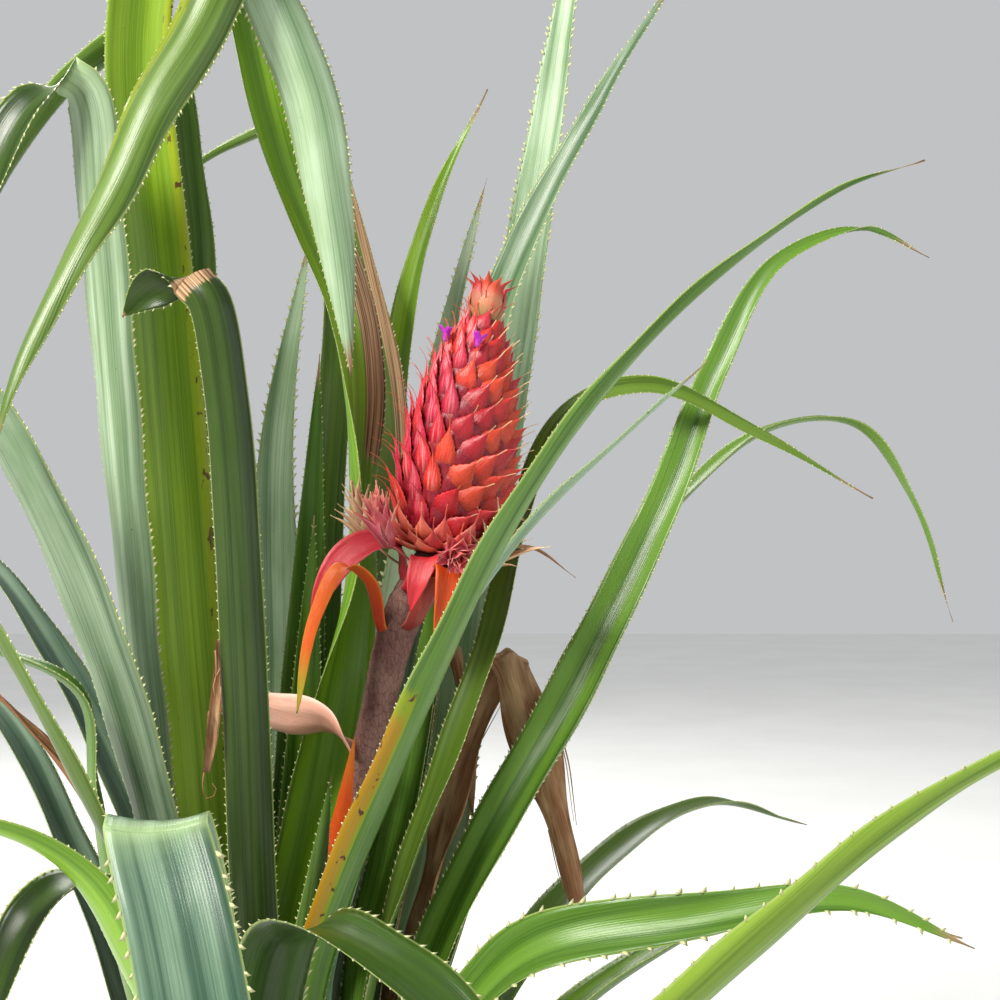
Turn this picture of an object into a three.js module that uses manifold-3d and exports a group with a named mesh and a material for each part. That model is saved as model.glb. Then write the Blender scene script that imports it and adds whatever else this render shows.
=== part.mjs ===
// A red pineapple plant in fruit: a short stem, its rosette of long channelled leaves, the scape
// with its coloured bracts, and the fruit head with slips at its base and a small tuft on top.
// Millimetres, +Z up. The origin is the middle of the stem's flat cut at ground level.
import * as THREE from 'three';
import { LoftGeometry } from 'three/addons/geometries/LoftGeometry.js';
import { mergeVertices } from 'three/addons/utils/BufferGeometryUtils.js';
import Module from 'manifold-3d';

// Driving dimensions
const STEM_HEIGHT = 212;
const STEM_LEAN = 0.02;
const STEM_PROFILE = [[34, 0], [28, 9], [24, 26], [25, 90], [27, 150], [26, 200], [14, STEM_HEIGHT]];
const STEM_SIDES = 20;

const SEAT_GAP = 0.45;
const FOOT_LOWEST = 26;
const FOOT_STEP = 4;
const GOLDEN_ANGLE = 137.5;
const COLLAR_OUT = [30, 10];
const COLLAR_UP = [24, 30];
const FOOT_COUNT = 43;

const LEAF_STATIONS = 13;
const LEAF_CHANNEL = 0.2;
const LEAF_THICKNESS = 0.0106;
const LEAF_LEAST_THICKNESS = 3;
const LEAF_LEAST_WIDTH = 1.6;
const LEAF_THICKEST_SHARE = 0.55;
const FOOT_WIDTH = 0.5;
const SECTION_SHOULDER = 0.45;
const CREASED_STATIONS = 6;
const WIDEST_FROM = 0.3;
const WIDEST_TO = 0.4;
const NARROWING_POWER = 1.7;

const SCAPE_POINTS = [
  [5, 0, STEM_HEIGHT + 0.4], [16, 0, 285], [44, 0, 371], [65, 0, 445], [82, 0, 508], [105.4, 0, 547.2],
];
const SCAPE_RADII = [10, 9, 8.5, 8.5, 11.5, 14];
const SCAPE_SIDES = 20;
const SCAPE_STATIONS = 16;
const SCAPE_RING = 1.02;
const BRACT_THICKNESS = 2.4;
const BRACT_FOOT_WIDTH = 0.6;
const BRACT_STATIONS = 8;
const BRACT_SHEATH = 4;
const SLIP_SIDES = 8;
const SLIP_SHAPE = [0.35, 0.3, 0.4, 0.9, 1, 0.85, 0.5, 0.12];

const FRUIT_BASE = [105.5, 0, 547.6];
const FRUIT_TILT = 10.5;
const FRUIT_HEIGHT = 150;
const FRUIT_PROFILE = [
  [17, 0], [26, 9], [32, 28], [34, 48], [32, 76], [27, 102], [20, 126], [12, 144], [9, FRUIT_HEIGHT],
];
const FRUIT_SIDES = 18;
const BRACT_CELL = 235;
const BRACT_ZONE = [12, 142];
const FULL_SIZE_RADIUS = 30;
const LEAST_SHARE = 0.6;
const BRACT_SIZE = { sunk: 2.5, low: 7, half: 7, high: 7, keel: 6, out: 12.5, up: 13 };
const TUFT_HEIGHT = 9;
const TUFT_PROFILE = [[8, 0], [6.5, 5.4], [3, TUFT_HEIGHT]];
const TUFT_SIDES = 10;
const TUFT_ZONE = [2, TUFT_HEIGHT - 1];
const LEAFLET_CELL = 66;
const LEAFLET_SIZE = { sunk: 1.5, low: 3.4, half: 4, high: 3.4, keel: 2.6, out: 10, up: 24 };

// Finishes: colour, roughness
const FINISHES = {
  green: [0x5d8f2f, 0.45],
  bright: [0x8fbf3a, 0.45],
  silver: [0x9fb59a, 0.5],
  shade: [0x274a22, 0.4],
  slate: [0x5c7468, 0.5],
  dry: [0x8a6a45, 0.85],
  stem: [0x6b5a3c, 0.9],
  scape: [0x8d5a50, 0.7],
  red: [0xc81f24, 0.5],
  orange: [0xe2552a, 0.5],
  pink: [0xe58a80, 0.55],
  slip: [0xb07a5a, 0.7],
  tuft: [0xd99a6e, 0.6],
};

// Leaves: name, finish, foot number on the stem's spiral, widest width, the bearings that the outer
// face looks to from foot to end, the share of the width left at the end, and then the points that
// the midrib passes. A leaf with a share left ends at a crease, and the next row hangs on from there.
const LEAVES = [
  ['leaf_front_tall', 'shade', 23, 27, [-90, -92], 0.9,
    [5, -84, 300], [-2, -98, 505], [-10, -104, 640], [-20, -105, 695], [-30, -100, 707]],
  ['leaf_front_tall_tip', 'dry', null, 24, [-92, -120], 0, [-52, -92, 701], [-72, -82, 686]],
  ['leaf_left_tall', 'bright', 30, 46, [115, 95], 0.8,
    [-41, 28, 290], [-60, 32, 518], [-74, 30, 710], [-86, 24, 880], [-68, 16, 956], [-46, 6, 985],
    [-40, -12, 990]],
  ['leaf_left_tall_tip', 'green', null, 37, [95, 85, 60, 45], 0,
    [-30, -31, 974], [-19, -38, 922], [-34, -45, 872], [-63, -60, 815], [-84, -74, 760],
    [-102, -88, 718], [-125, -108, 654], [-136, -122, 600]],
  ['leaf_left_silver', 'silver', 38, 40, [-160, -110], 0.8,
    [-50, -14, 290], [-72, -22, 420], [-88, -30, 590], [-101, -30, 745], [-110, -29, 826],
    [-120, -31, 834]],
  ['leaf_left_silver_tip', 'shade', null, 32, [-110, -130], 0,
    [-142, -40, 808], [-160, -50, 755], [-176, -60, 680]],
  ['leaf_arch_rise', 'bright', 40, 46, [100, 110, 130, 180, 140, 128, 122], 0.85,
    [2, 32, 290], [18, 37, 371], [32, 42, 450], [44, 42, 520], [47, 42, 594], [43, 35, 690],
    [4, 28, 800], [-17, 30, 890], [-20, 24, 921], [-17, 6, 925]],
  ['leaf_arch_fall', 'silver', null, 35, [122, 100, 90, 90], 0,
    [-9, -10, 918], [5, -15, 888], [27, -12, 829], [38, -13, 767], [45, -13, 718], [52, -12, 657]],
  ['leaf_rear_right_low', 'green', 3, 42, [42, 40], 0,
    [118, 104, 200], [210, 180, 305], [300, 250, 345], [395, 325, 315]],
  ['leaf_rear_pale', 'silver', 14, 44, [95, 90], 0,
    [-8, 84, 300], [-9, 102, 459], [-10, 110, 623], [12, 112, 765]],
  ['leaf_rear_green', 'green', 27, 34, [95, 90], 0, [3, 71, 300], [12, 77, 463], [22, 82, 680]],
  ['leaf_rear_olive', 'shade', 24, 44, [75, 75], 0,
    [34, 88, 300], [56, 118, 480], [65, 134, 637], [34, 140, 793], [4, 142, 925]],
  ['leaf_rear_narrow', 'bright', 19, 34, [65, 75], 0,
    [51, 107, 300], [61, 143, 520], [72, 160, 700], [96, 166, 798], [134, 170, 880]],
  ['leaf_rear_toothed', 'silver', 37, 34, [55, 70], 0,
    [46, 70, 300], [78, 99, 520], [111, 114, 712], [134, 120, 806]],
  ['leaf_rear_blue', 'silver', 11, 48, [55, 75], 0,
    [92, 104, 300], [132, 158, 560], [174, 182, 829], [212, 196, 1084]],
  ['leaf_rear_long', 'silver', 29, 36, [35, 55, 65, 65], 0,
    [67, 41, 300], [106, 70, 540], [146, 78, 721], [210, 86, 851], [268, 92, 945]],
  ['leaf_front_arch', 'green', 31, 32, [-60, -45, -32, -24, -20], 0,
    [36, -68, 300], [87, -96, 436], [165, -125, 593], [239, -140, 683], [323, -146, 746],
    [368, -146, 762]],
  ['leaf_front_thin', 'silver', 39, 24, [-35, -15], 0,
    [42, -46, 300], [98, -58, 470], [155, -62, 559], [262, -76, 662]],
  ['leaf_right_green', 'bright', 13, 33, [0, 40, 70, 75, 75], 0,
    [104, 4, 300], [196, 34, 470], [252, 60, 582], [286, 72, 668], [329, 80, 741], [389, 80, 763],
    [430, 78, 744]],
  ['leaf_right_droop', 'green', 26, 24, [-20, -20], 0,
    [70, -18, 300], [134, 14, 480], [186, 46, 636], [240, 50, 656], [312, 46, 624], [384, 42, 583]],
  ['leaf_right_long', 'green', 8, 28, [20, 25], 0,
    [124, 72, 320], [200, 102, 480], [266, 118, 578], [335, 132, 632], [395, 142, 634],
    [436, 147, 582], [466, 150, 495]],
  ['leaf_low_right', 'bright', 5, 42, [-40, -35], 0,
    [100, -104, 165], [241, -210, 337], [329, -250, 429], [371, -265, 461], [470, -295, 510]],
  ['leaf_low_bent', 'green', 10, 40, [-65, -50], 0,
    [70, -94, 205], [130, -132, 312], [165, -150, 346], [250, -172, 368], [322, -185, 380],
    [380, -195, 358]],
  ['leaf_low_front', 'shade', 15, 44, [-80, -50], 0,
    [14, -110, 292], [34, -140, 350], [76, -190, 354], [130, -245, 325], [215, -350, 170]],
  ['leaf_front_folded', 'silver', 2, 44, [-90, -90], 0.95,
    [-2, -110, 190], [-2, -200, 310], [0, -290, 420], [1, -330, 448], [3, -344, 446]],
  ['leaf_front_folded_tip', 'silver', null, 42, [-90, -75], 0,
    [16, -366, 420], [30, -388, 375], [45, -408, 300], [60, -425, 225]],
  ['leaf_left_low_bright', 'bright', 7, 34, [-130, -115, -120], 0,
    [-30, -96, 215], [-44, -150, 322], [-80, -165, 390], [-120, -184, 416], [-185, -210, 425],
    [-250, -235, 385]],
  ['leaf_left_low_dark', 'shade', 20, 40, [-130, -115], 0,
    [-44, -60, 230], [-66, -92, 330], [-84, -118, 372], [-104, -142, 362], [-124, -168, 300],
    [-134, -186, 215]],
  ['leaf_left_out_silver', 'silver', 33, 38, [-150, -125, -115, -120, -125], 0,
    [-50, -40, 300], [-68, -58, 413], [-108, -80, 548], [-165, -98, 660], [-235, -112, 735],
    [-365, -135, 735]],
  ['leaf_left_level', 'green', 25, 24, [-170, -165], 0,
    [-84, -34, 300], [-93, -70, 415], [-98, -84, 472], [-148, -94, 498], [-230, -104, 508],
    [-310, -112, 490]],
  ['leaf_left_slim', 'green', 28, 24, [-145, -145], 0,
    [-40, -70, 300], [-82, -114, 410], [-121, -140, 500], [-165, -160, 575], [-235, -180, 630]],
  ['leaf_left_brown', 'dry', 17, 20, [175, 180], 0,
    [-78, 2, 280], [-104, -8, 380], [-161, -20, 462], [-240, -30, 510]],
  ['leaf_left_slate', 'slate', 9, 40, [160, 165], 0,
    [-88, 26, 230], [-140, 44, 360], [-200, 64, 450], [-340, 105, 500]],
  ['leaf_left_rear', 'slate', 22, 40, [145, 150], 0,
    [-60, 56, 260], [-102, 74, 370], [-155, 96, 465], [-225, 125, 545], [-310, 155, 570]],
  ['leaf_left_arching', 'green', 35, 36, [140, 140], 0,
    [-44, 62, 300], [-58, 78, 560], [-66, 70, 790], [-84, 56, 884], [-126, 20, 850], [-160, -4, 788],
    [-200, -24, 692]],
  ['leaf_rear_high', 'green', 6, 30, [95, 110], 0,
    [6, 100, 300], [18, 140, 560], [20, 172, 770], [-20, 190, 852], [-60, 192, 842], [-130, 192, 795]],
  ['leaf_by_scape', 'green', 36, 20, [-60, -80], 0,
    [24, -34, 300], [36, -36, 372], [42, -37, 418]],
  ['leaf_behind_scape', 'silver', 42, 22, [30, 50], 0, [33, 23, 300], [70, 34, 440], [86, 44, 545]],
  ['leaf_inner_dark', 'shade', 34, 38, [20, 60], 0, [63, 21, 300], [89, 34, 414], [104, 47, 545]],
  ['leaf_inner_green', 'green', 32, 30, [100, 90], 0, [8, 54, 300], [14, 61, 415], [20, 68, 572]],
  ['dry_leaf_long', 'dry', 21, 30, [10, 25, 90], 0.9,
    [89, 44, 290], [118, 60, 400], [140, 72, 462], [146, 66, 482], [149, 54, 481]],
  ['dry_leaf_long_tip', 'dry', null, 34, [90, 90, 90, 90], 0,
    [152, 47, 471], [159, 43, 445], [170, 43, 410], [181, 45, 372], [190, 48, 335], [197, 51, 300]],
  ['dry_leaf_olive', 'dry', 16, 24, [40, 50], 0,
    [70, 72, 280], [94, 90, 430], [108, 96, 480], [119, 98, 425], [127, 99, 330]],
  ['leaf_rear_low', 'green', 1, 42, [95, 85], 0,
    [-14, 130, 190], [10, 250, 320], [30, 350, 370], [50, 440, 340]],
  ['leaf_right_low', 'green', 0, 42, [0, 5], 0,
    [120, 0, 190], [230, 10, 290], [330, 22, 330], [440, 36, 300]],
];

// Leaves whose blade also turns about its own line, in degrees from the middle on
const LEAF_ROLLS = { leaf_low_right: -20, leaf_low_bent: 70, leaf_right_droop: 60 };

// Bracts on the scape: name, finish, place along the scape, bearing of the seat, width, outer
// faces, roll of the blade about its own line, and the points that it passes.
const BRACTS = [
  ['bract_crimson', 'red', 0.93, 200, 18, [200, 220], -50,
    [80, -7, 551], [65, -10, 555], [50, -13, 548], [37, -16, 530], [27, -18, 504]],
  ['bract_orange_arch', 'orange', 0.84, 215, 18, [215, 240], 0,
    [62, -24, 532], [50, -32, 541], [34, -36, 512], [22, -40, 455]],
  ['bract_centre', 'red', 0.92, 268, 17, [268, 266], 0, [98, -24, 547], [94, -31, 535], [89, -32, 515]],
  ['bract_brown_arch', 'red', 0.86, 308, 12, [308, 300], 0,
    [102, -22, 528], [108, -31, 534], [111, -34, 521]],
  ['bract_hanging', 'orange', 0.95, 318, 22, [318, 280], 0,
    [114, -26, 540], [113, -36, 523], [104, -41, 492]],
  ['bract_dried', 'dry', 0.97, 8, 7, [8, 0], 0, [136, 4, 548], [162, 2, 552], [190, 0, 534]],
  ['bract_pink', 'pink', 0.62, 180, 28, [180, 190], 70, [34, 4, 443], [2, 6, 449], [-38, 8, 457]],
  ['bract_low', 'orange', 0.3, 250, 14, [250, 250], 0, [36, -20, 352], [46, -21, 390], [55, -21, 438]],
];

// Slips at the foot of the fruit: name, place along the scape, bearing of the seat, bud radius, points
const SLIPS = [
  ['slip_left', 0.95, 175, 7.5, [72, 8, 548], [55, 10, 566], [50, 12, 594]],
  ['slip_front', 0.965, 229, 7.5, [81, -24, 552], [71, -39, 562], [68, -42, 585]],
  ['slip_right', 0.95, 350, 7, [134, -9, 541], [148, -24, 552], [151, -32, 574]],
];

const wasm = await Module();
wasm.setup();

const plant = new THREE.Group();
const radians = THREE.MathUtils.degToRad;
const vector = (p) => new THREE.Vector3(...p);

function add(name, finish, geometry) {
  const [color, roughness] = FINISHES[finish];
  const mesh = new THREE.Mesh(geometry, new THREE.MeshStandardMaterial({ color, roughness, metalness: 0 }));
  mesh.name = name;
  plant.add(mesh);
  return mesh;
}

// The value at x on a line of [value, x] pairs.
function along(pairs, x) {
  const i = Math.max(1, pairs.findIndex((pair) => pair[1] >= x));
  const [low, high] = [pairs[i - 1], pairs[i]];
  return THREE.MathUtils.lerp(low[0], high[0], (x - low[1]) / (high[1] - low[1]));
}

// The value at fraction u of a list of evenly spaced values.
function spread(values, u) {
  const at = u * (values.length - 1);
  const i = Math.min(Math.floor(at), values.length - 2);
  return THREE.MathUtils.lerp(values[i], values[i + 1], at - i);
}

function lathe(profile, sides) {
  const outline = [[0, profile[0][1]], ...profile, [0, profile.at(-1)[1]]];
  const geometry = new THREE.LatheGeometry(outline.map((p) => new THREE.Vector2(...p)), sides);
  return geometry.rotateX(Math.PI / 2);
}

// How wide a blade is at fraction u: it widens from its foot and narrows to its end.
function taper(u, foot, end) {
  const rise = THREE.MathUtils.smoothstep(u, 0, WIDEST_FROM);
  const fall = Math.max(0, (u - WIDEST_TO) / (1 - WIDEST_TO)) ** NARROWING_POWER;
  return (foot + (1 - foot) * rise) * (1 - (1 - end) * fall);
}

// A channelled blade: a crescent section carried along the midrib. Its first section lies in the
// seat's plane, so that it meets what carries it face to face.
function blade({ points, seat, width, thickness, faces, roll = 0, foot, end, stations }) {
  const midrib = new THREE.CatmullRomCurve3(points, false, 'centripetal');
  const sections = [];
  for (let i = 0; i <= stations; i += 1) {
    const u = i / stations;
    const centre = midrib.getPointAt(u);
    const tangent = midrib.getTangentAt(u);
    const bearing = radians(spread(faces, u));
    const side = new THREE.Vector3(-Math.sin(bearing), Math.cos(bearing), 0);
    side.addScaledVector(tangent, -side.dot(tangent)).normalize();
    side.applyAxisAngle(tangent, radians(roll) * THREE.MathUtils.smoothstep(u, 0, 0.5));
    const inward = new THREE.Vector3().crossVectors(tangent, side);
    const wide = Math.max(width * taper(u, foot, end), LEAF_LEAST_WIDTH);
    const half = wide / 2;
    const thick = Math.min(thickness, wide * LEAF_THICKEST_SHARE);
    const rise = wide * LEAF_CHANNEL;
    const low = rise * SECTION_SHOULDER ** 2 - thick / 2;
    const ring = [
      [-half, rise], [-half * SECTION_SHOULDER, low], [half * SECTION_SHOULDER, low],
      [half, rise], [half * SECTION_SHOULDER, low + thick], [-half * SECTION_SHOULDER, low + thick],
    ].map(([x, y]) => centre.clone().addScaledVector(side, x).addScaledVector(inward, y));
    if (i === 0) {
      ring.forEach((p) => p.addScaledVector(seat.out, seat.at.clone().sub(p).dot(seat.out)));
    }
    sections.push(ring);
  }
  return { geometry: new LoftGeometry(sections, { capStart: true, capEnd: true }), midrib };
}

// Stem
const stemGeometry = lathe(STEM_PROFILE, STEM_SIDES);
stemGeometry.applyMatrix4(new THREE.Matrix4().makeShear(0, 0, 0, 0, STEM_LEAN, 0));
add('stem', 'stem', stemGeometry);

// Where foot number k sits on the stem's spiral, and the collar that turns the leaf upwards.
function stemSeat(k) {
  const z = FOOT_LOWEST + FOOT_STEP * k;
  const bearing = radians(GOLDEN_ANGLE * k);
  const out = new THREE.Vector3(Math.cos(bearing), Math.sin(bearing), 0);
  const at = new THREE.Vector3(STEM_LEAN * z, 0, z).addScaledVector(out, along(STEM_PROFILE, z) + SEAT_GAP);
  const inner = k / FOOT_COUNT;
  const collar = at.clone().addScaledVector(out, THREE.MathUtils.lerp(...COLLAR_OUT, inner));
  collar.z += THREE.MathUtils.lerp(...COLLAR_UP, inner);
  return { at, out, collar };
}

// Leaves
let crease = null;
for (const [name, finish, k, width, faces, end, ...via] of LEAVES) {
  const seat = k === null ? crease : stemSeat(k);
  const points = [seat.at, ...(seat.collar ? [seat.collar] : []), ...via.map(vector)];
  const length = new THREE.CatmullRomCurve3(points, false, 'centripetal').getLength();
  const { geometry, midrib } = blade({
    points,
    seat,
    width,
    faces,
    roll: LEAF_ROLLS[name],
    end,
    thickness: Math.max(LEAF_THICKNESS * length, LEAF_LEAST_THICKNESS),
    foot: k === null ? 1 : FOOT_WIDTH,
    stations: k === null ? CREASED_STATIONS : LEAF_STATIONS,
  });
  add(name, finish, geometry);
  const out = midrib.getTangentAt(1);
  crease = { at: midrib.getPointAt(1).addScaledVector(out, SEAT_GAP), out };
}

// Scape
const scapeLine = new THREE.CatmullRomCurve3(SCAPE_POINTS.map(vector), false, 'centripetal');
const fruitAxis = new THREE.Vector3(Math.sin(radians(FRUIT_TILT)), 0, Math.cos(radians(FRUIT_TILT)));
const scapeSections = [];
for (let i = 0; i <= SCAPE_STATIONS; i += 1) {
  const u = i / SCAPE_STATIONS;
  const ends = { 0: new THREE.Vector3(0, 0, 1), [SCAPE_STATIONS]: fruitAxis };
  const flat = ends[i] ?? scapeLine.getTangentAt(u);
  const side = new THREE.Vector3(1, 0, 0).addScaledVector(flat, -flat.x).normalize();
  const back = new THREE.Vector3().crossVectors(flat, side);
  const radius = spread(SCAPE_RADII, u) * (i % 2 ? 1 : SCAPE_RING);
  scapeSections.push(Array.from({ length: SCAPE_SIDES }, (_, j) => {
    const turn = (2 * Math.PI * j) / SCAPE_SIDES;
    return scapeLine.getPointAt(u).addScaledVector(side, radius * Math.cos(turn))
      .addScaledVector(back, radius * Math.sin(turn));
  }));
}
add('scape', 'scape', new LoftGeometry(scapeSections, { capStart: true, capEnd: true }));

// Where a bract or slip sits on the scape.
function scapeSeat(u, degrees) {
  const line = scapeLine.getTangentAt(u);
  const bearing = radians(degrees);
  const out = new THREE.Vector3(Math.cos(bearing), Math.sin(bearing), 0);
  out.addScaledVector(line, -out.dot(line)).normalize();
  const radius = spread(SCAPE_RADII, u) * SCAPE_RING;
  return { at: scapeLine.getPointAt(u).addScaledVector(out, radius + SEAT_GAP), out, line };
}

for (const [name, finish, u, degrees, width, faces, roll, ...via] of BRACTS) {
  const seat = scapeSeat(u, degrees);
  const start = seat.at.clone().addScaledVector(seat.out, BRACT_SHEATH)
    .addScaledVector(seat.line, BRACT_SHEATH);
  const points = [seat.at, start, ...via.map(vector)];
  const { geometry } = blade({
    points,
    seat,
    width,
    faces,
    roll,
    thickness: BRACT_THICKNESS,
    foot: BRACT_FOOT_WIDTH,
    end: 0,
    stations: BRACT_STATIONS,
  });
  add(name, finish, geometry);
}

// Slips: a short stalk that swells into a pointed bud
for (const [name, u, degrees, girth, ...via] of SLIPS) {
  const seat = scapeSeat(u, degrees);
  const line = new THREE.CatmullRomCurve3([seat.at, ...via.map(vector)], false, 'centripetal');
  const sections = SLIP_SHAPE.map((share, i) => {
    const at = i / (SLIP_SHAPE.length - 1);
    const tangent = i === 0 ? seat.out : line.getTangentAt(at);
    const side = new THREE.Vector3(0, 1, 0).addScaledVector(tangent, -tangent.y).normalize();
    const back = new THREE.Vector3().crossVectors(tangent, side);
    return Array.from({ length: SLIP_SIDES }, (_, j) => {
      const turn = (2 * Math.PI * j) / SLIP_SIDES;
      return line.getPointAt(at).addScaledVector(side, girth * share * Math.cos(turn))
        .addScaledVector(back, girth * share * Math.sin(turn));
    });
  });
  add(name, 'slip', new LoftGeometry(sections, { capStart: true, capEnd: true }));
}

// Solids for joining
function solidOf(geometry) {
  const plain = geometry.clone();
  plain.deleteAttribute('normal');
  plain.deleteAttribute('uv');
  const merged = mergeVertices(plain, 1e-4);
  return new wasm.Manifold(new wasm.Mesh({
    numProp: 3,
    vertProperties: new Float32Array(merged.attributes.position.array),
    triVerts: new Uint32Array(merged.index.array),
  }));
}

function geometryOf(solid) {
  const mesh = solid.getMesh();
  const geometry = new THREE.BufferGeometry();
  geometry.setAttribute('position', new THREE.BufferAttribute(mesh.vertProperties, 3));
  geometry.setIndex(new THREE.BufferAttribute(mesh.triVerts, 1));
  return geometry;
}

// A keeled, pointed scale: four corners sunk in the core, a keel and a tip that stands out.
function scale({ at, out, up }, size) {
  const side = new THREE.Vector3().crossVectors(up, out);
  const corners = [
    [0, -size.low, -size.sunk], [-size.half, 0, -size.sunk], [size.half, 0, -size.sunk],
    [0, size.high, -size.sunk], [0, -size.low * 0.2, size.keel], [0, size.up, size.out],
  ].flatMap(([x, y, z]) => at.clone().addScaledVector(side, x).addScaledVector(up, y)
    .addScaledVector(out, z).toArray());
  const geometry = new THREE.BufferGeometry();
  geometry.setAttribute('position', new THREE.Float32BufferAttribute(corners, 3));
  geometry.setIndex([0, 4, 1, 0, 2, 4, 1, 4, 5, 4, 2, 5, 1, 5, 3, 3, 5, 2, 0, 1, 3, 0, 3, 2]);
  return geometry;
}

// Scales in a spiral round a lathe profile, each with the same share of the surface.
function scaled(profile, sides, zone, cell, size) {
  let solid = solidOf(lathe(profile, sides));
  let z = zone[0];
  for (let n = 0; z < zone[1]; n += 1) {
    const radius = along(profile, z);
    const slope = (along(profile, z + 1) - along(profile, z - 1)) / 2;
    const bearing = radians(GOLDEN_ANGLE * n);
    const level = new THREE.Vector3(Math.cos(bearing), Math.sin(bearing), 0);
    const up = level.clone().multiplyScalar(slope).setZ(1).normalize();
    const out = level.clone().setZ(-slope).normalize();
    const at = level.clone().multiplyScalar(radius).setZ(z);
    const share = THREE.MathUtils.clamp(radius / FULL_SIZE_RADIUS, LEAST_SHARE, 1);
    const shrunk = Object.fromEntries(Object.entries(size).map(([key, value]) => [key, value * share]));
    solid = solid.add(solidOf(scale({ at, out, up }, shrunk)));
    z += cell * share ** 2 / (2 * Math.PI * radius);
  }
  return geometryOf(solid);
}

// Fruit head and its tuft, both on the fruit's leaning axis
const head = new THREE.Group();
head.position.set(...FRUIT_BASE);
head.rotation.y = radians(FRUIT_TILT);
plant.add(head);
const syncarp = scaled(FRUIT_PROFILE, FRUIT_SIDES, BRACT_ZONE, BRACT_CELL, BRACT_SIZE);
head.add(add('syncarp', 'red', syncarp));
const leaflets = scaled(TUFT_PROFILE, TUFT_SIDES, TUFT_ZONE, LEAFLET_CELL, LEAFLET_SIZE);
const tuft = add('crown_tuft', 'tuft', leaflets);
tuft.position.z = FRUIT_HEIGHT + SEAT_GAP;
head.add(tuft);

export default plant;
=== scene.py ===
# A red pineapple plant in fruit, dressed around its imported model: toothed, channelled leaves with a
# waxy bloom that is partly a painted sheen of reflected sky, the scaly scape with its coloured bracts,
# the fruit head of pointed red bracts, its slips and its tuft. Sizes are millimetres until a piece is
# made, and metres from there on.
import math
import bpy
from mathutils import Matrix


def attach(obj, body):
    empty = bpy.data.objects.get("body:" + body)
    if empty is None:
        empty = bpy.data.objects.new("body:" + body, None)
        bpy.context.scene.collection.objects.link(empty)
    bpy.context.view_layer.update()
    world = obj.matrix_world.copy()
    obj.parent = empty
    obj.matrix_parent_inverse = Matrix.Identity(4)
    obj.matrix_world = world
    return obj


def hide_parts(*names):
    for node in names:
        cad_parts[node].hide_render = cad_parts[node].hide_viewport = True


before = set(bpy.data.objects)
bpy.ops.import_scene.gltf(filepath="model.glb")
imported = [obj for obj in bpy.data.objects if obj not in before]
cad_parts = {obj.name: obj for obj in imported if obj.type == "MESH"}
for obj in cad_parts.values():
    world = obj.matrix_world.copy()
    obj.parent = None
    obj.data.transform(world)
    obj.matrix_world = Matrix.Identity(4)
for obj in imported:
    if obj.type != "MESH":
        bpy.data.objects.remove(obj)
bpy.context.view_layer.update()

from types import SimpleNamespace

import bpy
import numpy as np
from mathutils import Vector

MM = 0.001
SEED = 7
UP = np.array([0, 0, 1.0])

# The photograph's camera: level, looking along +Y
CAMERA_PLACE = (0.143, -1.0, 0.582)
CAMERA_LENS = 58.06
CAMERA_SENSOR = 36.0

# The plant's own sizes, as in the part's source
STEM_HEIGHT = 212
STEM_LEAN = 0.02
STEM_PROFILE = [(34, 0), (28, 9), (24, 26), (25, 90), (27, 150), (26, 200), (14, STEM_HEIGHT)]
SEAT_GAP = 0.45
FOOT_LOWEST = 26
FOOT_STEP = 4
FOOT_COUNT = 43
GOLDEN_ANGLE = 137.5
COLLAR_OUT = (30, 10)
COLLAR_UP = (24, 30)

LEAF_CHANNEL = 0.2
WIDEST_FROM = 0.3
WIDEST_TO = 0.4
NARROWING_POWER = 1.7

SCAPE_POINTS = [
    (5, 0, STEM_HEIGHT + 0.4), (16, 0, 285), (44, 0, 371), (65, 0, 445), (82, 0, 508), (105.4, 0, 547.2),
]
SCAPE_RADII = [10, 9, 8.5, 8.5, 11.5, 14]

FRUIT_BASE = (105.5, 0, 547.6)
FRUIT_TILT = 10.5
FRUIT_HEIGHT = 150
FRUIT_PROFILE = [
    (17, 0), (26, 9), (32, 28), (34, 48), (32, 76), (27, 102), (20, 126), (12, 144), (9, FRUIT_HEIGHT),
]
BRACT_ZONE = (12, 142)
FULL_SIZE_RADIUS = 30
LEAST_SHARE = 0.6
TUFT_HEIGHT = 9

# Finer sizes that only the looks have
ROW_SPACING = 5
LEAF_COLUMNS = 10
LEAF_MIDDLE_THICKNESS = 1.9
LEAF_EDGE_SHARE = 0.25
FOOT_WIDTH = 0.56
FOLD_REACH = 9
SETTLING_ROWS = 4
DRY_CHANNEL = 0.26
LIVING_WAVE, DRY_WAVE = 0.8, 2.2
FIBRES_ON_DRY_LEAF = 6
TOOTH_SPACING = 5.2
TOOTH_HEIGHT = 2.1

# A leaf's share of the length at its crease, and where the hanging length goes on from it
CREASE_REACH, HANGING_REACH = 0.9, 0.5

# A tooth's foot, lean and width as shares of its height, and how many millimetres it is sunk in
TOOTH_FOOT, TOOTH_LEAN, TOOTH_WIDTH, TOOTH_SINK = 1.5, 0.95, 0.45, 0.5
# The stretch of a margin that has teeth, as shares of its length, and the edge value on teeth
TEETH_FROM, TEETH_TO = 0.05, 0.985
TOOTH_MARK = 1.5

# Unevenness of blades: waves along the margins, and the pleats and pinches of crumpled ones
LEAST_WIDTH = 0.7
SERRATED_FROM = 0.2
WAVE_LENGTH, WAVE_POWER, WAVE_SHIFT = 90, 1.6, 1.9
PLEATS_ACROSS, PLEAT_REACH, PLEAT_DEPTH = 6.5, 26, 1.3
PINCH_REACH, PINCH_SHARE = 19, 0.22
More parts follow.
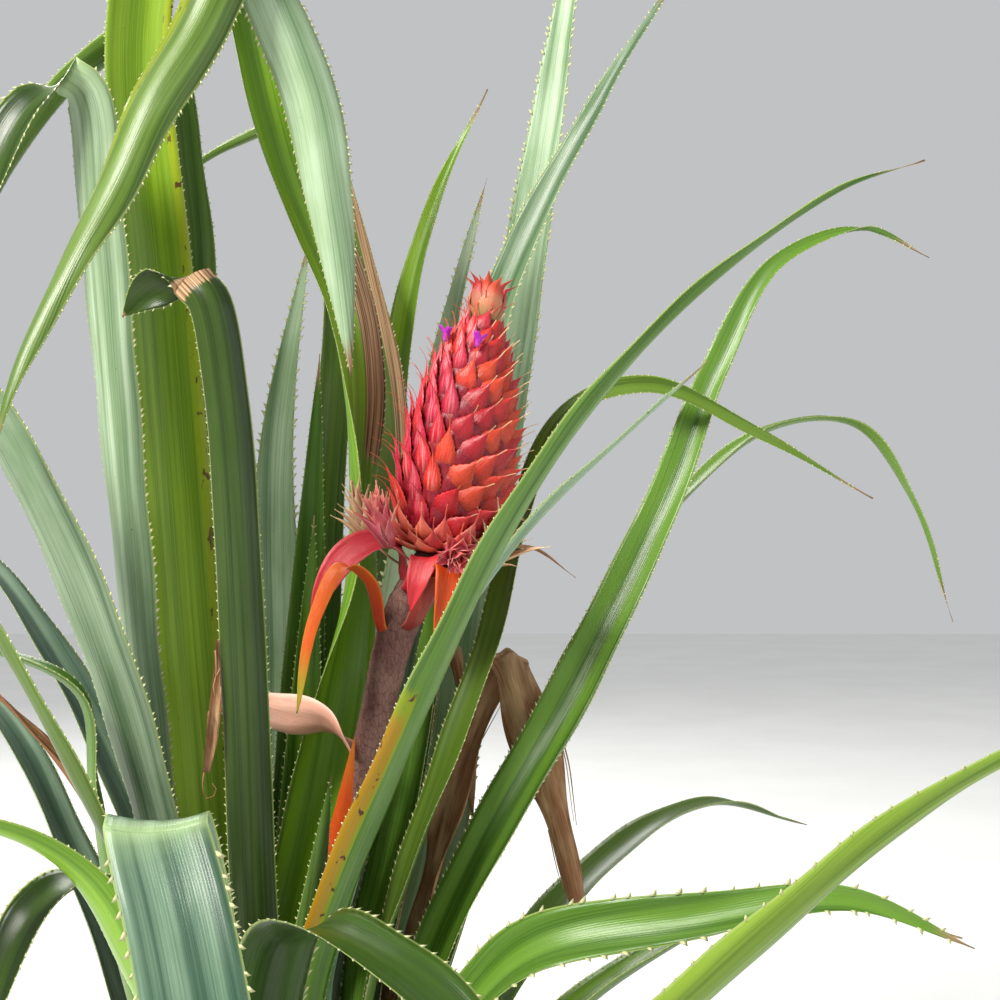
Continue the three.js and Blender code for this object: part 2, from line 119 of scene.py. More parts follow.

# Leaves: name, usual look, foot number on the stem's spiral, widest width, the bearings
# that the outer face looks to from foot to end, the share of the width left at the end, and then the
# points that the midrib passes. A leaf with a share left ends at a crease, and the next row hangs on
# from there.
LEAVES = [
    ("leaf_front_tall", "shade", 23, 27, [-90, -92], 0.9,
        [5, -84, 300], [-2, -98, 505], [-10, -104, 640], [-20, -105, 695], [-30, -100, 707]),
    ("leaf_front_tall_tip", "dry", None, 24, [-92, -120], 0, [-52, -92, 701], [-72, -82, 686]),
    ("leaf_left_tall", "bright", 30, 46, [115, 95], 0.8,
        [-41, 28, 290], [-60, 32, 518], [-74, 30, 710], [-86, 24, 880], [-68, 16, 956], [-46, 6, 985],
        [-40, -12, 990]),
    ("leaf_left_tall_tip", "green", None, 37, [95, 85, 60, 45], 0,
        [-30, -31, 974], [-19, -38, 922], [-34, -45, 872], [-63, -60, 815], [-84, -74, 760],
        [-102, -88, 718], [-125, -108, 654], [-136, -122, 600]),
    ("leaf_left_silver", "silver", 38, 40, [-160, -110], 0.8,
        [-50, -14, 290], [-72, -22, 420], [-88, -30, 590], [-101, -30, 745], [-110, -29, 826],
        [-120, -31, 834]),
    ("leaf_left_silver_tip", "shade", None, 32, [-110, -130], 0,
        [-142, -40, 808], [-160, -50, 755], [-176, -60, 680]),
    ("leaf_arch_rise", "bright", 40, 46, [100, 110, 130, 180, 140, 128, 122], 0.85,
        [2, 32, 290], [18, 37, 371], [32, 42, 450], [44, 42, 520], [47, 42, 594], [43, 35, 690],
        [4, 28, 800], [-17, 30, 890], [-20, 24, 921], [-17, 6, 925]),
    ("leaf_arch_fall", "silver", None, 35, [122, 100, 90, 90], 0,
        [-9, -10, 918], [5, -15, 888], [27, -12, 829], [38, -13, 767], [45, -13, 718], [52, -12, 657]),
    ("leaf_rear_right_low", "green", 3, 42, [42, 40], 0,
        [118, 104, 200], [210, 180, 305], [300, 250, 345], [395, 325, 315]),
    ("leaf_rear_pale", "silver", 14, 44, [95, 90], 0,
        [-8, 84, 300], [-9, 102, 459], [-10, 110, 623], [12, 112, 765]),
    ("leaf_rear_green", "green", 27, 34, [95, 90], 0, [3, 71, 300], [12, 77, 463], [22, 82, 680]),
    ("leaf_rear_olive", "shade", 24, 44, [75, 75], 0,
        [34, 88, 300], [56, 118, 480], [65, 134, 637], [34, 140, 793], [4, 142, 925]),
    ("leaf_rear_narrow", "bright", 19, 34, [65, 75], 0,
        [51, 107, 300], [61, 143, 520], [72, 160, 700], [96, 166, 798], [134, 170, 880]),
    ("leaf_rear_toothed", "silver", 37, 34, [55, 70], 0,
        [46, 70, 300], [78, 99, 520], [111, 114, 712], [134, 120, 806]),
    ("leaf_rear_blue", "silver", 11, 48, [55, 75], 0,
        [92, 104, 300], [132, 158, 560], [174, 182, 829], [212, 196, 1084]),
    ("leaf_rear_long", "silver", 29, 36, [35, 55, 65, 65], 0,
        [67, 41, 300], [106, 70, 540], [146, 78, 721], [210, 86, 851], [268, 92, 945]),
    ("leaf_front_arch", "green", 31, 32, [-60, -45, -32, -24, -20], 0,
        [36, -68, 300], [87, -96, 436], [165, -125, 593], [239, -140, 683], [323, -146, 746],
        [368, -146, 762]),
    ("leaf_front_thin", "silver", 39, 24, [-35, -15], 0,
        [42, -46, 300], [98, -58, 470], [155, -62, 559], [262, -76, 662]),
    ("leaf_right_green", "bright", 13, 33, [0, 40, 70, 75, 75], 0,
        [104, 4, 300], [196, 34, 470], [252, 60, 582], [286, 72, 668], [329, 80, 741], [389, 80, 763],
        [430, 78, 744]),
    ("leaf_right_droop", "green", 26, 24, [-20, -20], 0,
        [70, -18, 300], [134, 14, 480], [186, 46, 636], [240, 50, 656], [312, 46, 624], [384, 42, 583]),
    ("leaf_right_long", "green", 8, 28, [20, 25], 0,
        [124, 72, 320], [200, 102, 480], [266, 118, 578], [335, 132, 632], [395, 142, 634],
        [436, 147, 582], [466, 150, 495]),
    ("leaf_low_right", "bright", 5, 42, [-40, -35], 0,
        [100, -104, 165], [241, -210, 337], [329, -250, 429], [371, -265, 461], [470, -295, 510]),
    ("leaf_low_bent", "green", 10, 40, [-65, -50], 0,
        [70, -94, 205], [130, -132, 312], [165, -150, 346], [250, -172, 368], [322, -185, 380],
        [380, -195, 358]),
    ("leaf_low_front", "shade", 15, 44, [-80, -50], 0,
        [14, -110, 292], [34, -140, 350], [76, -190, 354], [130, -245, 325], [215, -350, 170]),
    ("leaf_front_folded", "silver", 2, 44, [-90, -90], 0.95,
        [-2, -110, 190], [-2, -200, 310], [0, -290, 420], [1, -330, 448], [3, -344, 446]),
    ("leaf_front_folded_tip", "silver", None, 42, [-90, -75], 0,
        [16, -366, 420], [30, -388, 375], [45, -408, 300], [60, -425, 225]),
    ("leaf_left_low_bright", "bright", 7, 34, [-130, -115, -120], 0,
        [-30, -96, 215], [-44, -150, 322], [-80, -165, 390], [-120, -184, 416], [-185, -210, 425],
        [-250, -235, 385]),
    ("leaf_left_low_dark", "shade", 20, 40, [-130, -115], 0,
        [-44, -60, 230], [-66, -92, 330], [-84, -118, 372], [-104, -142, 362], [-124, -168, 300],
        [-134, -186, 215]),
    ("leaf_left_out_silver", "silver", 33, 38, [-150, -125, -115, -120, -125], 0,
        [-50, -40, 300], [-68, -58, 413], [-108, -80, 548], [-165, -98, 660], [-235, -112, 735],
        [-365, -135, 735]),
    ("leaf_left_level", "green", 25, 24, [-170, -165], 0,
        [-84, -34, 300], [-93, -70, 415], [-98, -84, 472], [-148, -94, 498], [-230, -104, 508],
        [-310, -112, 490]),
    ("leaf_left_slim", "green", 28, 24, [-145, -145], 0,
        [-40, -70, 300], [-82, -114, 410], [-121, -140, 500], [-165, -160, 575], [-235, -180, 630]),
    ("leaf_left_brown", "dry", 17, 20, [175, 180], 0,
        [-78, 2, 280], [-104, -8, 380], [-161, -20, 462], [-240, -30, 510]),
    ("leaf_left_slate", "slate", 9, 40, [160, 165], 0,
        [-88, 26, 230], [-140, 44, 360], [-200, 64, 450], [-340, 105, 500]),
    ("leaf_left_rear", "slate", 22, 40, [145, 150], 0,
        [-60, 56, 260], [-102, 74, 370], [-155, 96, 465], [-225, 125, 545], [-310, 155, 570]),
    ("leaf_left_arching", "green", 35, 36, [140, 140], 0,
        [-44, 62, 300], [-58, 78, 560], [-66, 70, 790], [-84, 56, 884], [-126, 20, 850], [-160, -4, 788],
        [-200, -24, 692]),
    ("leaf_rear_high", "green", 6, 30, [95, 110], 0,
        [6, 100, 300], [18, 140, 560], [20, 172, 770], [-20, 190, 852], [-60, 192, 842], [-130, 192, 795]),
    ("leaf_by_scape", "green", 36, 20, [-60, -80], 0,
        [24, -34, 300], [36, -36, 372], [42, -37, 418]),
    ("leaf_behind_scape", "silver", 42, 22, [30, 50], 0, [33, 23, 300], [70, 34, 440], [86, 44, 545]),
    ("leaf_inner_dark", "shade", 34, 38, [20, 60], 0, [63, 21, 300], [89, 34, 414], [104, 47, 545]),
    ("leaf_inner_green", "green", 32, 30, [100, 90], 0, [8, 54, 300], [14, 61, 415], [20, 68, 572]),
    ("dry_leaf_long", "dry", 21, 30, [10, 25, 90], 0.9,
        [89, 44, 290], [118, 60, 400], [140, 72, 462], [146, 66, 482], [149, 54, 481]),
    ("dry_leaf_long_tip", "dry", None, 34, [90, 90, 90, 90], 0,
        [152, 47, 471], [159, 43, 445], [170, 43, 410], [181, 45, 372], [190, 48, 335], [197, 51, 300]),
    ("dry_leaf_olive", "dry", 16, 24, [40, 50], 0,
        [70, 72, 280], [94, 90, 430], [108, 96, 480], [119, 98, 425], [127, 99, 330]),
    ("leaf_rear_low", "green", 1, 42, [95, 85], 0,
        [-14, 130, 190], [10, 250, 320], [30, 350, 370], [50, 440, 340]),
    ("leaf_right_low", "green", 0, 42, [0, 5], 0,
        [120, 0, 190], [230, 10, 290], [330, 22, 330], [440, 36, 300]),
]

# What single leaves show beyond their row: another look, the size and spacing of the teeth, the
# channel's depth, a roll of the blade about its own line in degrees, a torn crease, and where a
# margin is withered or yellowed. Such a stretch is given as its side, how far out from the midrib
# it starts, and the shares of the length where it lies.
LEAF_TRAITS = {
    "leaf_front_tall": {"look": "shade", "tooth": 0.8, "torn": True},
    "leaf_front_tall_tip": {"look": "shade", "tooth": 0.8, "torn": True},
    "leaf_left_tall": {"yellowed": (-1, 0.62, 0.1, 0.9), "yellow": 0.75, "tooth": 0.9},
    "leaf_left_tall_tip": {"yellowed": (1, 0.55, 0.0, 1.0), "yellow": 0.7, "channel": 0.24},
    "leaf_left_silver": {"look": "pale", "tooth": 1.3},
    "leaf_left_silver_tip": {"look": "shade", "tooth": 1.3},
    "leaf_arch_rise": {"withered": (-1, 0.55, 0.55, 0.8), "channel": 0.26},
    "leaf_arch_fall": {"look": "pale", "tooth": 1.2},
    "leaf_rear_pale": {"look": "pale", "tooth": 2.1, "pitch": 1.3},
    "leaf_rear_blue": {"look": "pale", "tooth": 1.9, "pitch": 1.4},
    "leaf_rear_toothed": {"look": "pale", "tooth": 1.9, "pitch": 1.3},
    "leaf_rear_long": {"tooth": 1.3},
    "leaf_rear_olive": {"look": "olive", "withered": (-1, 0.3, 0.0, 1.0)},
    "leaf_front_arch": {"look": "green", "yellowed": (-1, 0.5, 0.06, 0.46), "yellow": 1.6, "tooth": 0.8},
    "leaf_front_folded": {"look": "blue", "tooth": 1.4, "pitch": 1.5, "channel": 0.09},
    "leaf_front_folded_tip": {"look": "blue", "tooth": 1.4, "pitch": 1.5, "channel": 0.07},
    "leaf_low_right": {"roll": -20, "tooth": 1.6, "pitch": 2.2},
    "leaf_low_bent": {"roll": 70, "tooth": 2.1, "pitch": 2.4},
    "leaf_right_droop": {"roll": 60},
    "leaf_low_front": {"look": "shade", "tooth": 1.7, "pitch": 1.8},
    "leaf_right_green": {"look": "green"},
    "leaf_left_low_dark": {"tooth": 1.4},
    "leaf_inner_dark": {"look": "green"},
}

# Bracts on the scape: name, usual look, place along the scape, bearing of the seat, width,
# outer faces, roll of the blade about its own line, and the points that it passes
BRACTS = [
    ("bract_crimson", "red", 0.93, 200, 18, [200, 220], -50,
        [80, -7, 551], [65, -10, 555], [50, -13, 548], [37, -16, 530], [27, -18, 504]),
    ("bract_orange_arch", "orange", 0.84, 215, 18, [215, 240], 0,
        [62, -24, 532], [50, -32, 541], [34, -36, 512], [22, -40, 455]),
    ("bract_centre", "red", 0.92, 268, 17, [268, 266], 0, [98, -24, 547], [94, -31, 535], [89, -32, 515]),
    ("bract_brown_arch", "red", 0.86, 308, 12, [308, 300], 0,
        [102, -22, 528], [108, -31, 534], [111, -34, 521]),
    ("bract_hanging", "orange", 0.95, 318, 22, [318, 280], 0,
        [114, -26, 540], [113, -36, 523], [104, -41, 492]),
    ("bract_dried", "dry", 0.97, 8, 7, [8, 0], 0, [136, 4, 548], [162, 2, 552], [190, 0, 534]),
    ("bract_pink", "pink", 0.62, 180, 28, [180, 190], 70, [34, 4, 443], [2, 6, 449], [-38, 8, 457]),
    ("bract_low", "orange", 0.3, 250, 14, [250, 250], 0, [36, -20, 352], [46, -21, 390], [55, -21, 438]),
]
BRACT_TRAITS = {
    "bract_crimson": {"look": "crimson", "teeth": 0.55, "wide": 1.2},
    "bract_centre": {"look": "crimson", "teeth": 0.7, "foot": 0.95},
    "bract_brown_arch": {"look": "painted_shade_brick", "foot": 0.9, "wide": 1.3},
    "bract_orange_arch": {"look": "arch", "teeth": 0.5, "wide": 0.9},
    "bract_hanging": {"look": "flame", "foot": 0.9, "channel": 0.1},
    "bract_low": {"look": "flame"},
    "bract_pink": {"foot": 1.25, "channel": 0.08, "wide": 1.1, "end": 0.4},
}

# Slips at the foot of the fruit: name, look, place along the scape, bearing of the seat, bud radius,
# how far the outer leaflets open in degrees, their width in bud radii, their length as a share of
# the slip's, and the points that the slip passes
SLIPS = [
    ("slip_left", "tan", 0.95, 175, 7.5, 34, 1.4, 0.75, [72, 8, 548], [55, 10, 566], [50, 12, 594]),
    ("slip_front", "slip", 0.965, 229, 7.5, 24, 1.6, 0.9, [81, -24, 552], [71, -39, 562], [68, -42, 585]),
    ("slip_right", "tan", 0.95, 350, 7, 48, 1.1, 0.9, [134, -9, 541], [148, -24, 552], [151, -32, 574]),
]

# The two open flowers: height on the fruit's axis and bearing round it
FLOWERS = [(125, 214), (124, 270)]

# Rows of spreading bracts under the fruit: height, count, length, outward lean in degrees
FRUIT_SKIRT = [(0.5, 13, 23, 76), (3.5, 13, 26, 60), (7.5, 14, 27, 42)]

# A small crumpled rosette on the front of the fruit's foot: height and bearing
FRONT_ROSETTE = (8, 291)

chance = np.random.default_rng(SEED)


# Lines and numbers

def unit(v):
    return v / np.maximum(np.linalg.norm(v, axis=-1, keepdims=True), 1e-9)


def square_to(direction, line):
    """A direction turned square to a line."""
    return unit(direction - line * np.sum(direction * line, axis=-1, keepdims=True))


def smoothstep(x, low, high):
    t = np.clip((x - low) / (high - low), 0, 1)
    return t * t * (3 - 2 * t)


def spread(values, u):
    """The value at fraction u of a list of evenly spaced values."""
    return np.interp(u, np.linspace(0, 1, len(values)), values)


def along_profile(profile, z):
    """The radius at height z of a profile of (radius, height) pairs."""
    return np.interp(z, [p[1] for p in profile], [p[0] for p in profile])


def reach_along(path):
    """How far along a path each of its points lies, from 0 to the path's length."""
    return np.concatenate([[0], np.cumsum(np.linalg.norm(np.diff(path, axis=0), axis=1))])


def read(path, reach, at):
    """The points of a path at distances from its start."""
    return np.stack([np.interp(at, reach, axis) for axis in path.T], axis=-1)


def toward(bearing):
    """The level direction at a bearing in radians."""
    return np.array([math.cos(bearing), math.sin(bearing), 0])


def turns(count):
    """Evenly spaced angles once round a circle."""
    return np.linspace(0, 2 * math.pi, count, endpoint=False)


def circles(turn, side, other):
    """The directions at each angle of a circle, in the planes of pairs of directions."""
    return np.cos(turn)[None, :, None] * side[:, None, :] + np.sin(turn)[None, :, None] * other[:, None, :]


def round_body(radius, turn, z, lean=0.0):
    """Level sections round an axis that may lean to the right."""
    heights = np.repeat(z[:, None], len(turn), axis=1)
    return np.stack([lean * heights + radius * np.cos(turn), radius * np.sin(turn), heights], axis=-1)


def axis_frame(axis):
    """An axis made one long, and two directions square to it."""
    axis = unit(np.asarray(axis, float))
    side = unit(np.cross(axis, [0.3, 0.9, 0.1]))
    return axis, side, np.cross(axis, side)


class Line:
    """A centripetal Catmull-Rom curve through points, read by its share of the length."""

    SAMPLES = 24

    def __init__(self, points):
        p = np.array(points, float)
        p = np.vstack([2 * p[0] - p[1], p, 2 * p[-1] - p[-2]])
        gaps = np.maximum(np.sum(np.diff(p, axis=0) ** 2, axis=1) ** 0.25, 1e-4)
        t = np.linspace(0, 1, self.SAMPLES, endpoint=False)[:, None]
        spans = []
        for i in range(1, len(p) - 2):
            before, here, after = gaps[i - 1:i + 2]
            a, b = p[i], p[i + 1]
            leave = ((a - p[i - 1]) / before - (b - p[i - 1]) / (before + here) + (b - a) / here) * here
            arrive = ((b - a) / here - (p[i + 2] - a) / (here + after) + (p[i + 2] - b) / after) * here
            bend = -3 * a + 3 * b - 2 * leave - arrive
            spans.append(a + leave * t + bend * t ** 2 + (2 * a - 2 * b + leave + arrive) * t ** 3)
        self.path = np.vstack([*spans, p[-2:-1]])
        self.reach = reach_along(self.path)
        self.length = self.reach[-1]

    def at(self, u):
        return read(self.path, self.reach, u * self.length)

    def tangent(self, u):
        step = 2.0 / self.length
        return unit(self.at(np.minimum(u + step, 1)) - self.at(np.maximum(u - step, 0)))


# Mesh patches: points in millimetres, faces, values on the points, and a map on the face corners.
# far is the share of the length, across and along are millimetres on the blade, inner tells the
# two faces apart, edge is 1 at the margins and above 1 on teeth, and fold is 1 at a sound crease,
# where a painted highlight runs along it.
# seed differs from blade to blade, and withered and yellowed tell how far a place has turned. The
# value after seed is a tint of painted light and shade: low on fruit bracts painted lit, magenta with a
# painted highlight, up to 2 on those painted shaded, coral; other pieces hold 1.

VALUES = ("across", "along", "inner", "edge", "far", "seed", "warm", "fold", "withered", "yellowed")

# The map of a skin: its length fills the share SKIN_SHARE, and its ends are small discs at the right
SKIN_SHARE, DISC_MIDDLE, DISC_RADIUS = 0.96, 0.98, 0.015
LOW_DISC, HIGH_DISC = 0.02, 0.98
# The share of its cell that a patch fills, and where blades, ribbons and spikes lie on the map
CELL_SHARE = 0.96
BLADE_STRIP, RIBBON_STRIP, SPIKE_STRIP = (0.0, 0.93), (0.77, 0.93), (0.94, 1.0)
BLADES_BESIDE_RIBBONS = (0.0, 0.76)


def patch(points, faces, corners, role="blade", **values):
    n = len(points)
    filled = {name: np.broadcast_to(np.asarray(values.get(name, 0.0), float), (n,)) for name in VALUES}
    corners = np.asarray(corners, float)
    return SimpleNamespace(
        points=np.asarray(points, float), faces=faces, corners=corners, values=filled, role=role)


def tube(rings, role="blade", **values):
    """A closed skin over sections of equal count, rings[row, column, xyz]."""
    rows, columns = rings.shape[:2]
    faces, corners = [], []
    for i in range(rows - 1):
        for j in range(columns):
            k = (j + 1) % columns
            faces.append((i * columns + j, i * columns + k, (i + 1) * columns + k, (i + 1) * columns + j))
            left, right = SKIN_SHARE * j / columns, SKIN_SHARE * (j + 1) / columns
            low, high = i / (rows - 1), (i + 1) / (rows - 1)
            corners += [(left, low), (right, low), (right, high), (left, high)]
    faces.append(tuple(reversed(range(columns))))
    faces.append(tuple(range((rows - 1) * columns, rows * columns)))
    disc = [(DISC_MIDDLE + DISC_RADIUS * math.cos(a), DISC_RADIUS * math.sin(a)) for a in turns(columns)]
    corners += [(x, LOW_DISC + y) for x, y in reversed(disc)] + [(x, HIGH_DISC + y) for x, y in disc]
    flat = {name: np.broadcast_to(v, (rows, columns)).ravel() for name, v in values.items()}
    return patch(rings.reshape(-1, 3), faces, corners, role, **flat)


# A spike's faces on its four foot corners and its tip, and the map of these faces in its cell
SPIKE_FACES = ((0, 1, 4), (1, 2, 4), (2, 3, 4), (3, 0, 4), (0, 3, 2, 1))
SPIKE_CELL = ((0.05, 0.05), (0.95, 0.05), (0.95, 0.75), (0.05, 0.75), (0.5, 0.4))
SPIKE_MAP = np.array([
    *(SPIKE_CELL[k] for face in SPIKE_FACES[:4] for k in face),
    (0.05, 0.8), (0.05, 0.95), (0.95, 0.95), (0.95, 0.8),
])
# The grid of cells has as many columns as the root of this share of the spikes
SPIKE_COLUMNS = 0.06


def spikes(points, far, **values):
    """Small four-sided spikes, points[spike, corner, xyz], each with its own cell of the map."""
    count = len(points)
    columns = max(1, round(math.sqrt(count * SPIKE_COLUMNS)))
    cell = np.array([1 / columns, 1 / math.ceil(count / columns)])
    places = np.stack([np.arange(count) % columns, np.arange(count) // columns], axis=-1)
    corners = (places * cell)[:, None] + SPIKE_MAP * cell
    faces = [tuple(5 * n + k for k in face) for n in range(count) for face in SPIKE_FACES]
    points, corners = points.reshape(-1, 3), corners.reshape(-1, 2)
    return patch(points, faces, corners, "spikes", far=np.repeat(far, 5), **values)


def blade(points, width, shape, side=None, faces=None, roll=0.0, channel=LEAF_CHANNEL,
          thickness=LEAF_MIDDLE_THICKNESS, spacing=ROW_SPACING, columns=LEAF_COLUMNS, wave=0.0,
          crumple=0.0, serration=0.0, start=None, reach=(0.0, 1.0), marks=None, seed=0.0, **values):
    """A thin channelled blade along a midrib. shape gives the share of the width at each share of
    the length, start is a section that it hangs on from, reach is where it begins and ends in the
    whole leaf, and marks gives further values from the place across and along. Its outer face looks
    to the bearings in faces, or the blade lies across in the direction side."""
    line = Line(points)
    rows = max(6, round(line.length / spacing)) + 1
    u = np.linspace(0, 1, rows)[:, None]
    s = np.linspace(-1, 1, columns + 1)[None, :]
    along = u * line.length
    centre, tangent = line.at(u), line.tangent(u)
    if faces is None:
        across = np.asarray(side, float)
    else:
        bearing = np.radians(spread(faces, u))
        across = np.stack([-np.sin(bearing), np.cos(bearing), 0 * bearing], axis=-1)
    across = square_to(across, tangent)
    turn = (np.radians(roll) * smoothstep(u, 0, 0.5))[..., None]
    across = across * np.cos(turn) + np.cross(tangent, across) * np.sin(turn)
    inward = np.cross(tangent, across)

    half = np.maximum(width * shape(u), LEAST_WIDTH) / 2
    if serration:
        steps = np.where(np.arange(rows) % 2, 1, -1)[:, None]
        half = half * (1 + serration * steps * (u > SERRATED_FROM))
    if crumple:
        half = half * (1 - PINCH_SHARE * crumple * (1 + np.sin(along / PINCH_REACH + 5 * seed)))
    thick = np.minimum(thickness, 0.5 * half) * (1 - (1 - LEAF_EDGE_SHARE) * s ** 2)
    phase = 2 * math.pi * (along / WAVE_LENGTH) + 9 * seed + (s > 0) * WAVE_SHIFT
    sag = 2 * half * channel * s ** 2 + wave * np.abs(s) ** WAVE_POWER * np.sin(phase)
    if crumple:
        pleats = np.sin(PLEATS_ACROSS * s + along / PLEAT_REACH + 7 * seed)
        sag = sag + crumple * pleats * np.minimum(PLEAT_DEPTH, 0.1 * half)
    flat = centre + across * (half * s)[..., None]
    outer = flat + inward * (sag - thick / 2)[..., None]
    inner = flat + inward * (sag + thick / 2)[..., None]
    rings = np.concatenate([outer, inner[:, ::-1]], axis=1)
    if start is not None:
        settle = smoothstep(np.arange(rows), 0, SETTLING_ROWS)[:, None, None]
        rings = start * (1 - settle) + rings * settle
    there_and_back = np.concatenate([s, s[:, ::-1]], axis=1)
    if marks:
        values.update(marks(there_and_back, u, line.length))
    skin = tube(
        rings, across=half * there_and_back, along=along, inner=np.repeat([0.0, 1.0], columns + 1),
        edge=np.abs(there_and_back), far=reach[0] + (reach[1] - reach[0]) * u, seed=seed, **values,
    )
    margins = [(rings[:, 0] + rings[:, -1]) / 2, (rings[:, columns] + rings[:, columns + 1]) / 2]
    ribs = (rings[:, columns // 2] + rings[:, -1 - columns // 2]) / 2
    return SimpleNamespace(
        skin=skin, rings=rings, margins=margins, ribs=ribs, line=line, seed=seed, reach=reach)


def teeth(leaf, height, pitch):
    """Hooked teeth along both margins of a blade, all pointing to its end."""
    made, shares = [], []
    for margin in leaf.margins:
        places = reach_along(margin)
        total = places[-1]
        toothed = TEETH_TO - TEETH_FROM
        count = int(total * toothed / pitch)
        if count < 1:
            continue
        where = total * (TEETH_FROM + toothed * (np.arange(count) + 0.5) / count)
        where = where + chance.uniform(-0.3, 0.3, count) * pitch
        size = (height * chance.uniform(0.7, 1.15, count) * (1 - 0.45 * where / total))[:, None]
        at, rib = read(margin, places, where), read(leaf.ribs, places, where)
        ahead = unit(read(margin, places, where + 1.5) - read(margin, places, where - 1.5))
        out = square_to(unit(at - rib), ahead)
        root, up = at - TOOTH_SINK * out, np.cross(ahead, out)
        foot, width = TOOTH_FOOT * size, TOOTH_WIDTH * size
        made.append(np.stack([
            root - 0.42 * foot * ahead,
            root + 0.5 * width * up,
            root + 0.58 * foot * ahead,
            root - 0.5 * width * up,
            root + (TOOTH_SINK + size) * out + TOOTH_LEAN * size * ahead,
        ], axis=1))
        shares.append(leaf.reach[0] + (leaf.reach[1] - leaf.reach[0]) * where / total)
    if not made:
        return None
    return spikes(np.concatenate(made), np.concatenate(shares), edge=TOOTH_MARK, seed=leaf.seed)


def lay_out(patches):
    """Gives each patch its own cell of the piece's map: blades left, spikes in a strip at the right."""
    strips = {"blade": BLADE_STRIP, "ribbon": RIBBON_STRIP, "spikes": SPIKE_STRIP}
    if any(p.role == "ribbon" for p in patches):
        strips["blade"] = BLADES_BESIDE_RIBBONS
    for role, (left, right) in strips.items():
        group = [p for p in patches if p.role == role]
        if not group:
            continue
        columns = math.ceil(math.sqrt(len(group) * (right - left)))
        wide, high = (right - left) / columns, 1 / math.ceil(len(group) / columns)
        for n, p in enumerate(group):
            corner = np.array([left + (n % columns) * wide, (n // columns) * high])
            p.corners = corner + p.corners * np.array([CELL_SHARE * wide, CELL_SHARE * high])


def place_object(name, data):
    made = bpy.data.objects.new(name, data)
    bpy.context.scene.collection.objects.link(made)
    return made


def make_piece(name, patches, material, nodes):
    """One mesh from several patches, in metres, riding on the plant and standing for CAD nodes."""
    patches = [p for p in patches if p is not None]
    lay_out(patches)
    points = np.vstack([p.points for p in patches]) * MM
    faces, base = [], 0
    for p in patches:
        faces += [tuple(base + i for i in face) for face in p.faces]
        base += len(p.points)
    mesh = bpy.data.meshes.new(name)
    mesh.from_pydata(points.tolist(), [], faces)
    corners = np.vstack([p.corners for p in patches]).astype(np.float32)
    mesh.uv_layers.new(name="OFBake").data.foreach_set("uv", corners.ravel())
    for value in VALUES:
        joined = np.concatenate([p.values[value] for p in patches]).astype(np.float32)
        mesh.attributes.new(value, "FLOAT", "POINT").data.foreach_set("value", joined)
    mesh.polygons.foreach_set("use_smooth", [True] * len(mesh.polygons))
    mesh.materials.append(material)
    piece = place_object(name, mesh)
    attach(piece, "root")
    if nodes:
        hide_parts(*nodes)


# Materials

class Surface:
    """A material under construction. Values are sockets or plain numbers."""

    # Places of the colour sockets on the node that mixes two colours
    FIRST_COLOUR, SECOND_COLOUR, MIXED_COLOUR = 6, 7, 2

    def __init__(self, name):
        self.material = bpy.data.materials.new(name)
        self.material.use_nodes = True
        self.tree = self.material.node_tree

    def fill(self, node, inputs):
        for key, value in inputs.items():
            socket = node.inputs[key]
            if isinstance(value, bpy.types.NodeSocket):
                self.tree.links.new(value, socket)
            elif socket.type == "RGBA":
                socket.default_value = (*value, 1)
            else:
                socket.default_value = value

    def add(self, kind, output, inputs, **settings):
        """A new node with its inputs filled, by name or place: gives one of its outputs."""
        node = self.tree.nodes.new("ShaderNode" + kind)
        for key, value in settings.items():
            setattr(node, key, value)
        self.fill(node, inputs)
        return node.outputs[output]

    def value(self, name):
        return self.add("Attribute", "Fac", {}, attribute_name=name)

    def math(self, operation, *values):
        return self.add("Math", 0, dict(enumerate(values)), operation=operation)

    def times(self, a, b):
        return self.math("MULTIPLY", a, b)

    def fit(self, value, low, high, to_low=0.0, to_high=1.0):
        ends = dict(enumerate((value, low, high, to_low, to_high)))
        return self.add("MapRange", 0, ends, clamp=True, interpolation_type="SMOOTHSTEP")

    def noise(self, where, scale=1.0, detail=3.0, roughness=0.55):
        inputs = {"Vector": where, "Scale": scale, "Detail": detail, "Roughness": roughness}
        return self.add("TexNoise", "Fac", inputs)

    def grain(self, across, along, start, detail=3.0, roughness=0.55):
        """Noise laid along a blade: features per millimetre across it and along it."""
        x = self.times(self.value("across"), across)
        y = self.times(self.value("along"), along)
        where = self.add("CombineXYZ", 0, {0: x, 1: y, 2: start})
        return self.noise(where, detail=detail, roughness=roughness)

    def mix(self, share, a, b):
        inputs = {"Factor": share, self.FIRST_COLOUR: a, self.SECOND_COLOUR: b}
        return self.add("Mix", self.MIXED_COLOUR, inputs, data_type="RGBA")

    def cover(self, colour, *coats):
        """Lays coats over a colour, each given as its share and its own colour."""
        for share, coat in coats:
            colour = self.mix(share, colour, coat)
        return colour

    def tone(self, colour, hue, value):
        return self.add("HueSaturation", "Color", {"Hue": hue, "Value": value, "Color": colour})

    def bump(self, height, strength, distance, under=None):
        inputs = {"Strength": strength, "Distance": distance, "Height": height}
        if under is not None:
            inputs["Normal"] = under
        return self.add("Bump", "Normal", inputs)

    def finish(self, colour, roughness, **inputs):
        inputs = {"Base Color": colour, "Roughness": roughness, **inputs}
        inputs = {name.replace("_", " "): value for name, value in inputs.items()}
        self.fill(self.tree.nodes["Principled BSDF"], inputs)
        return self.material
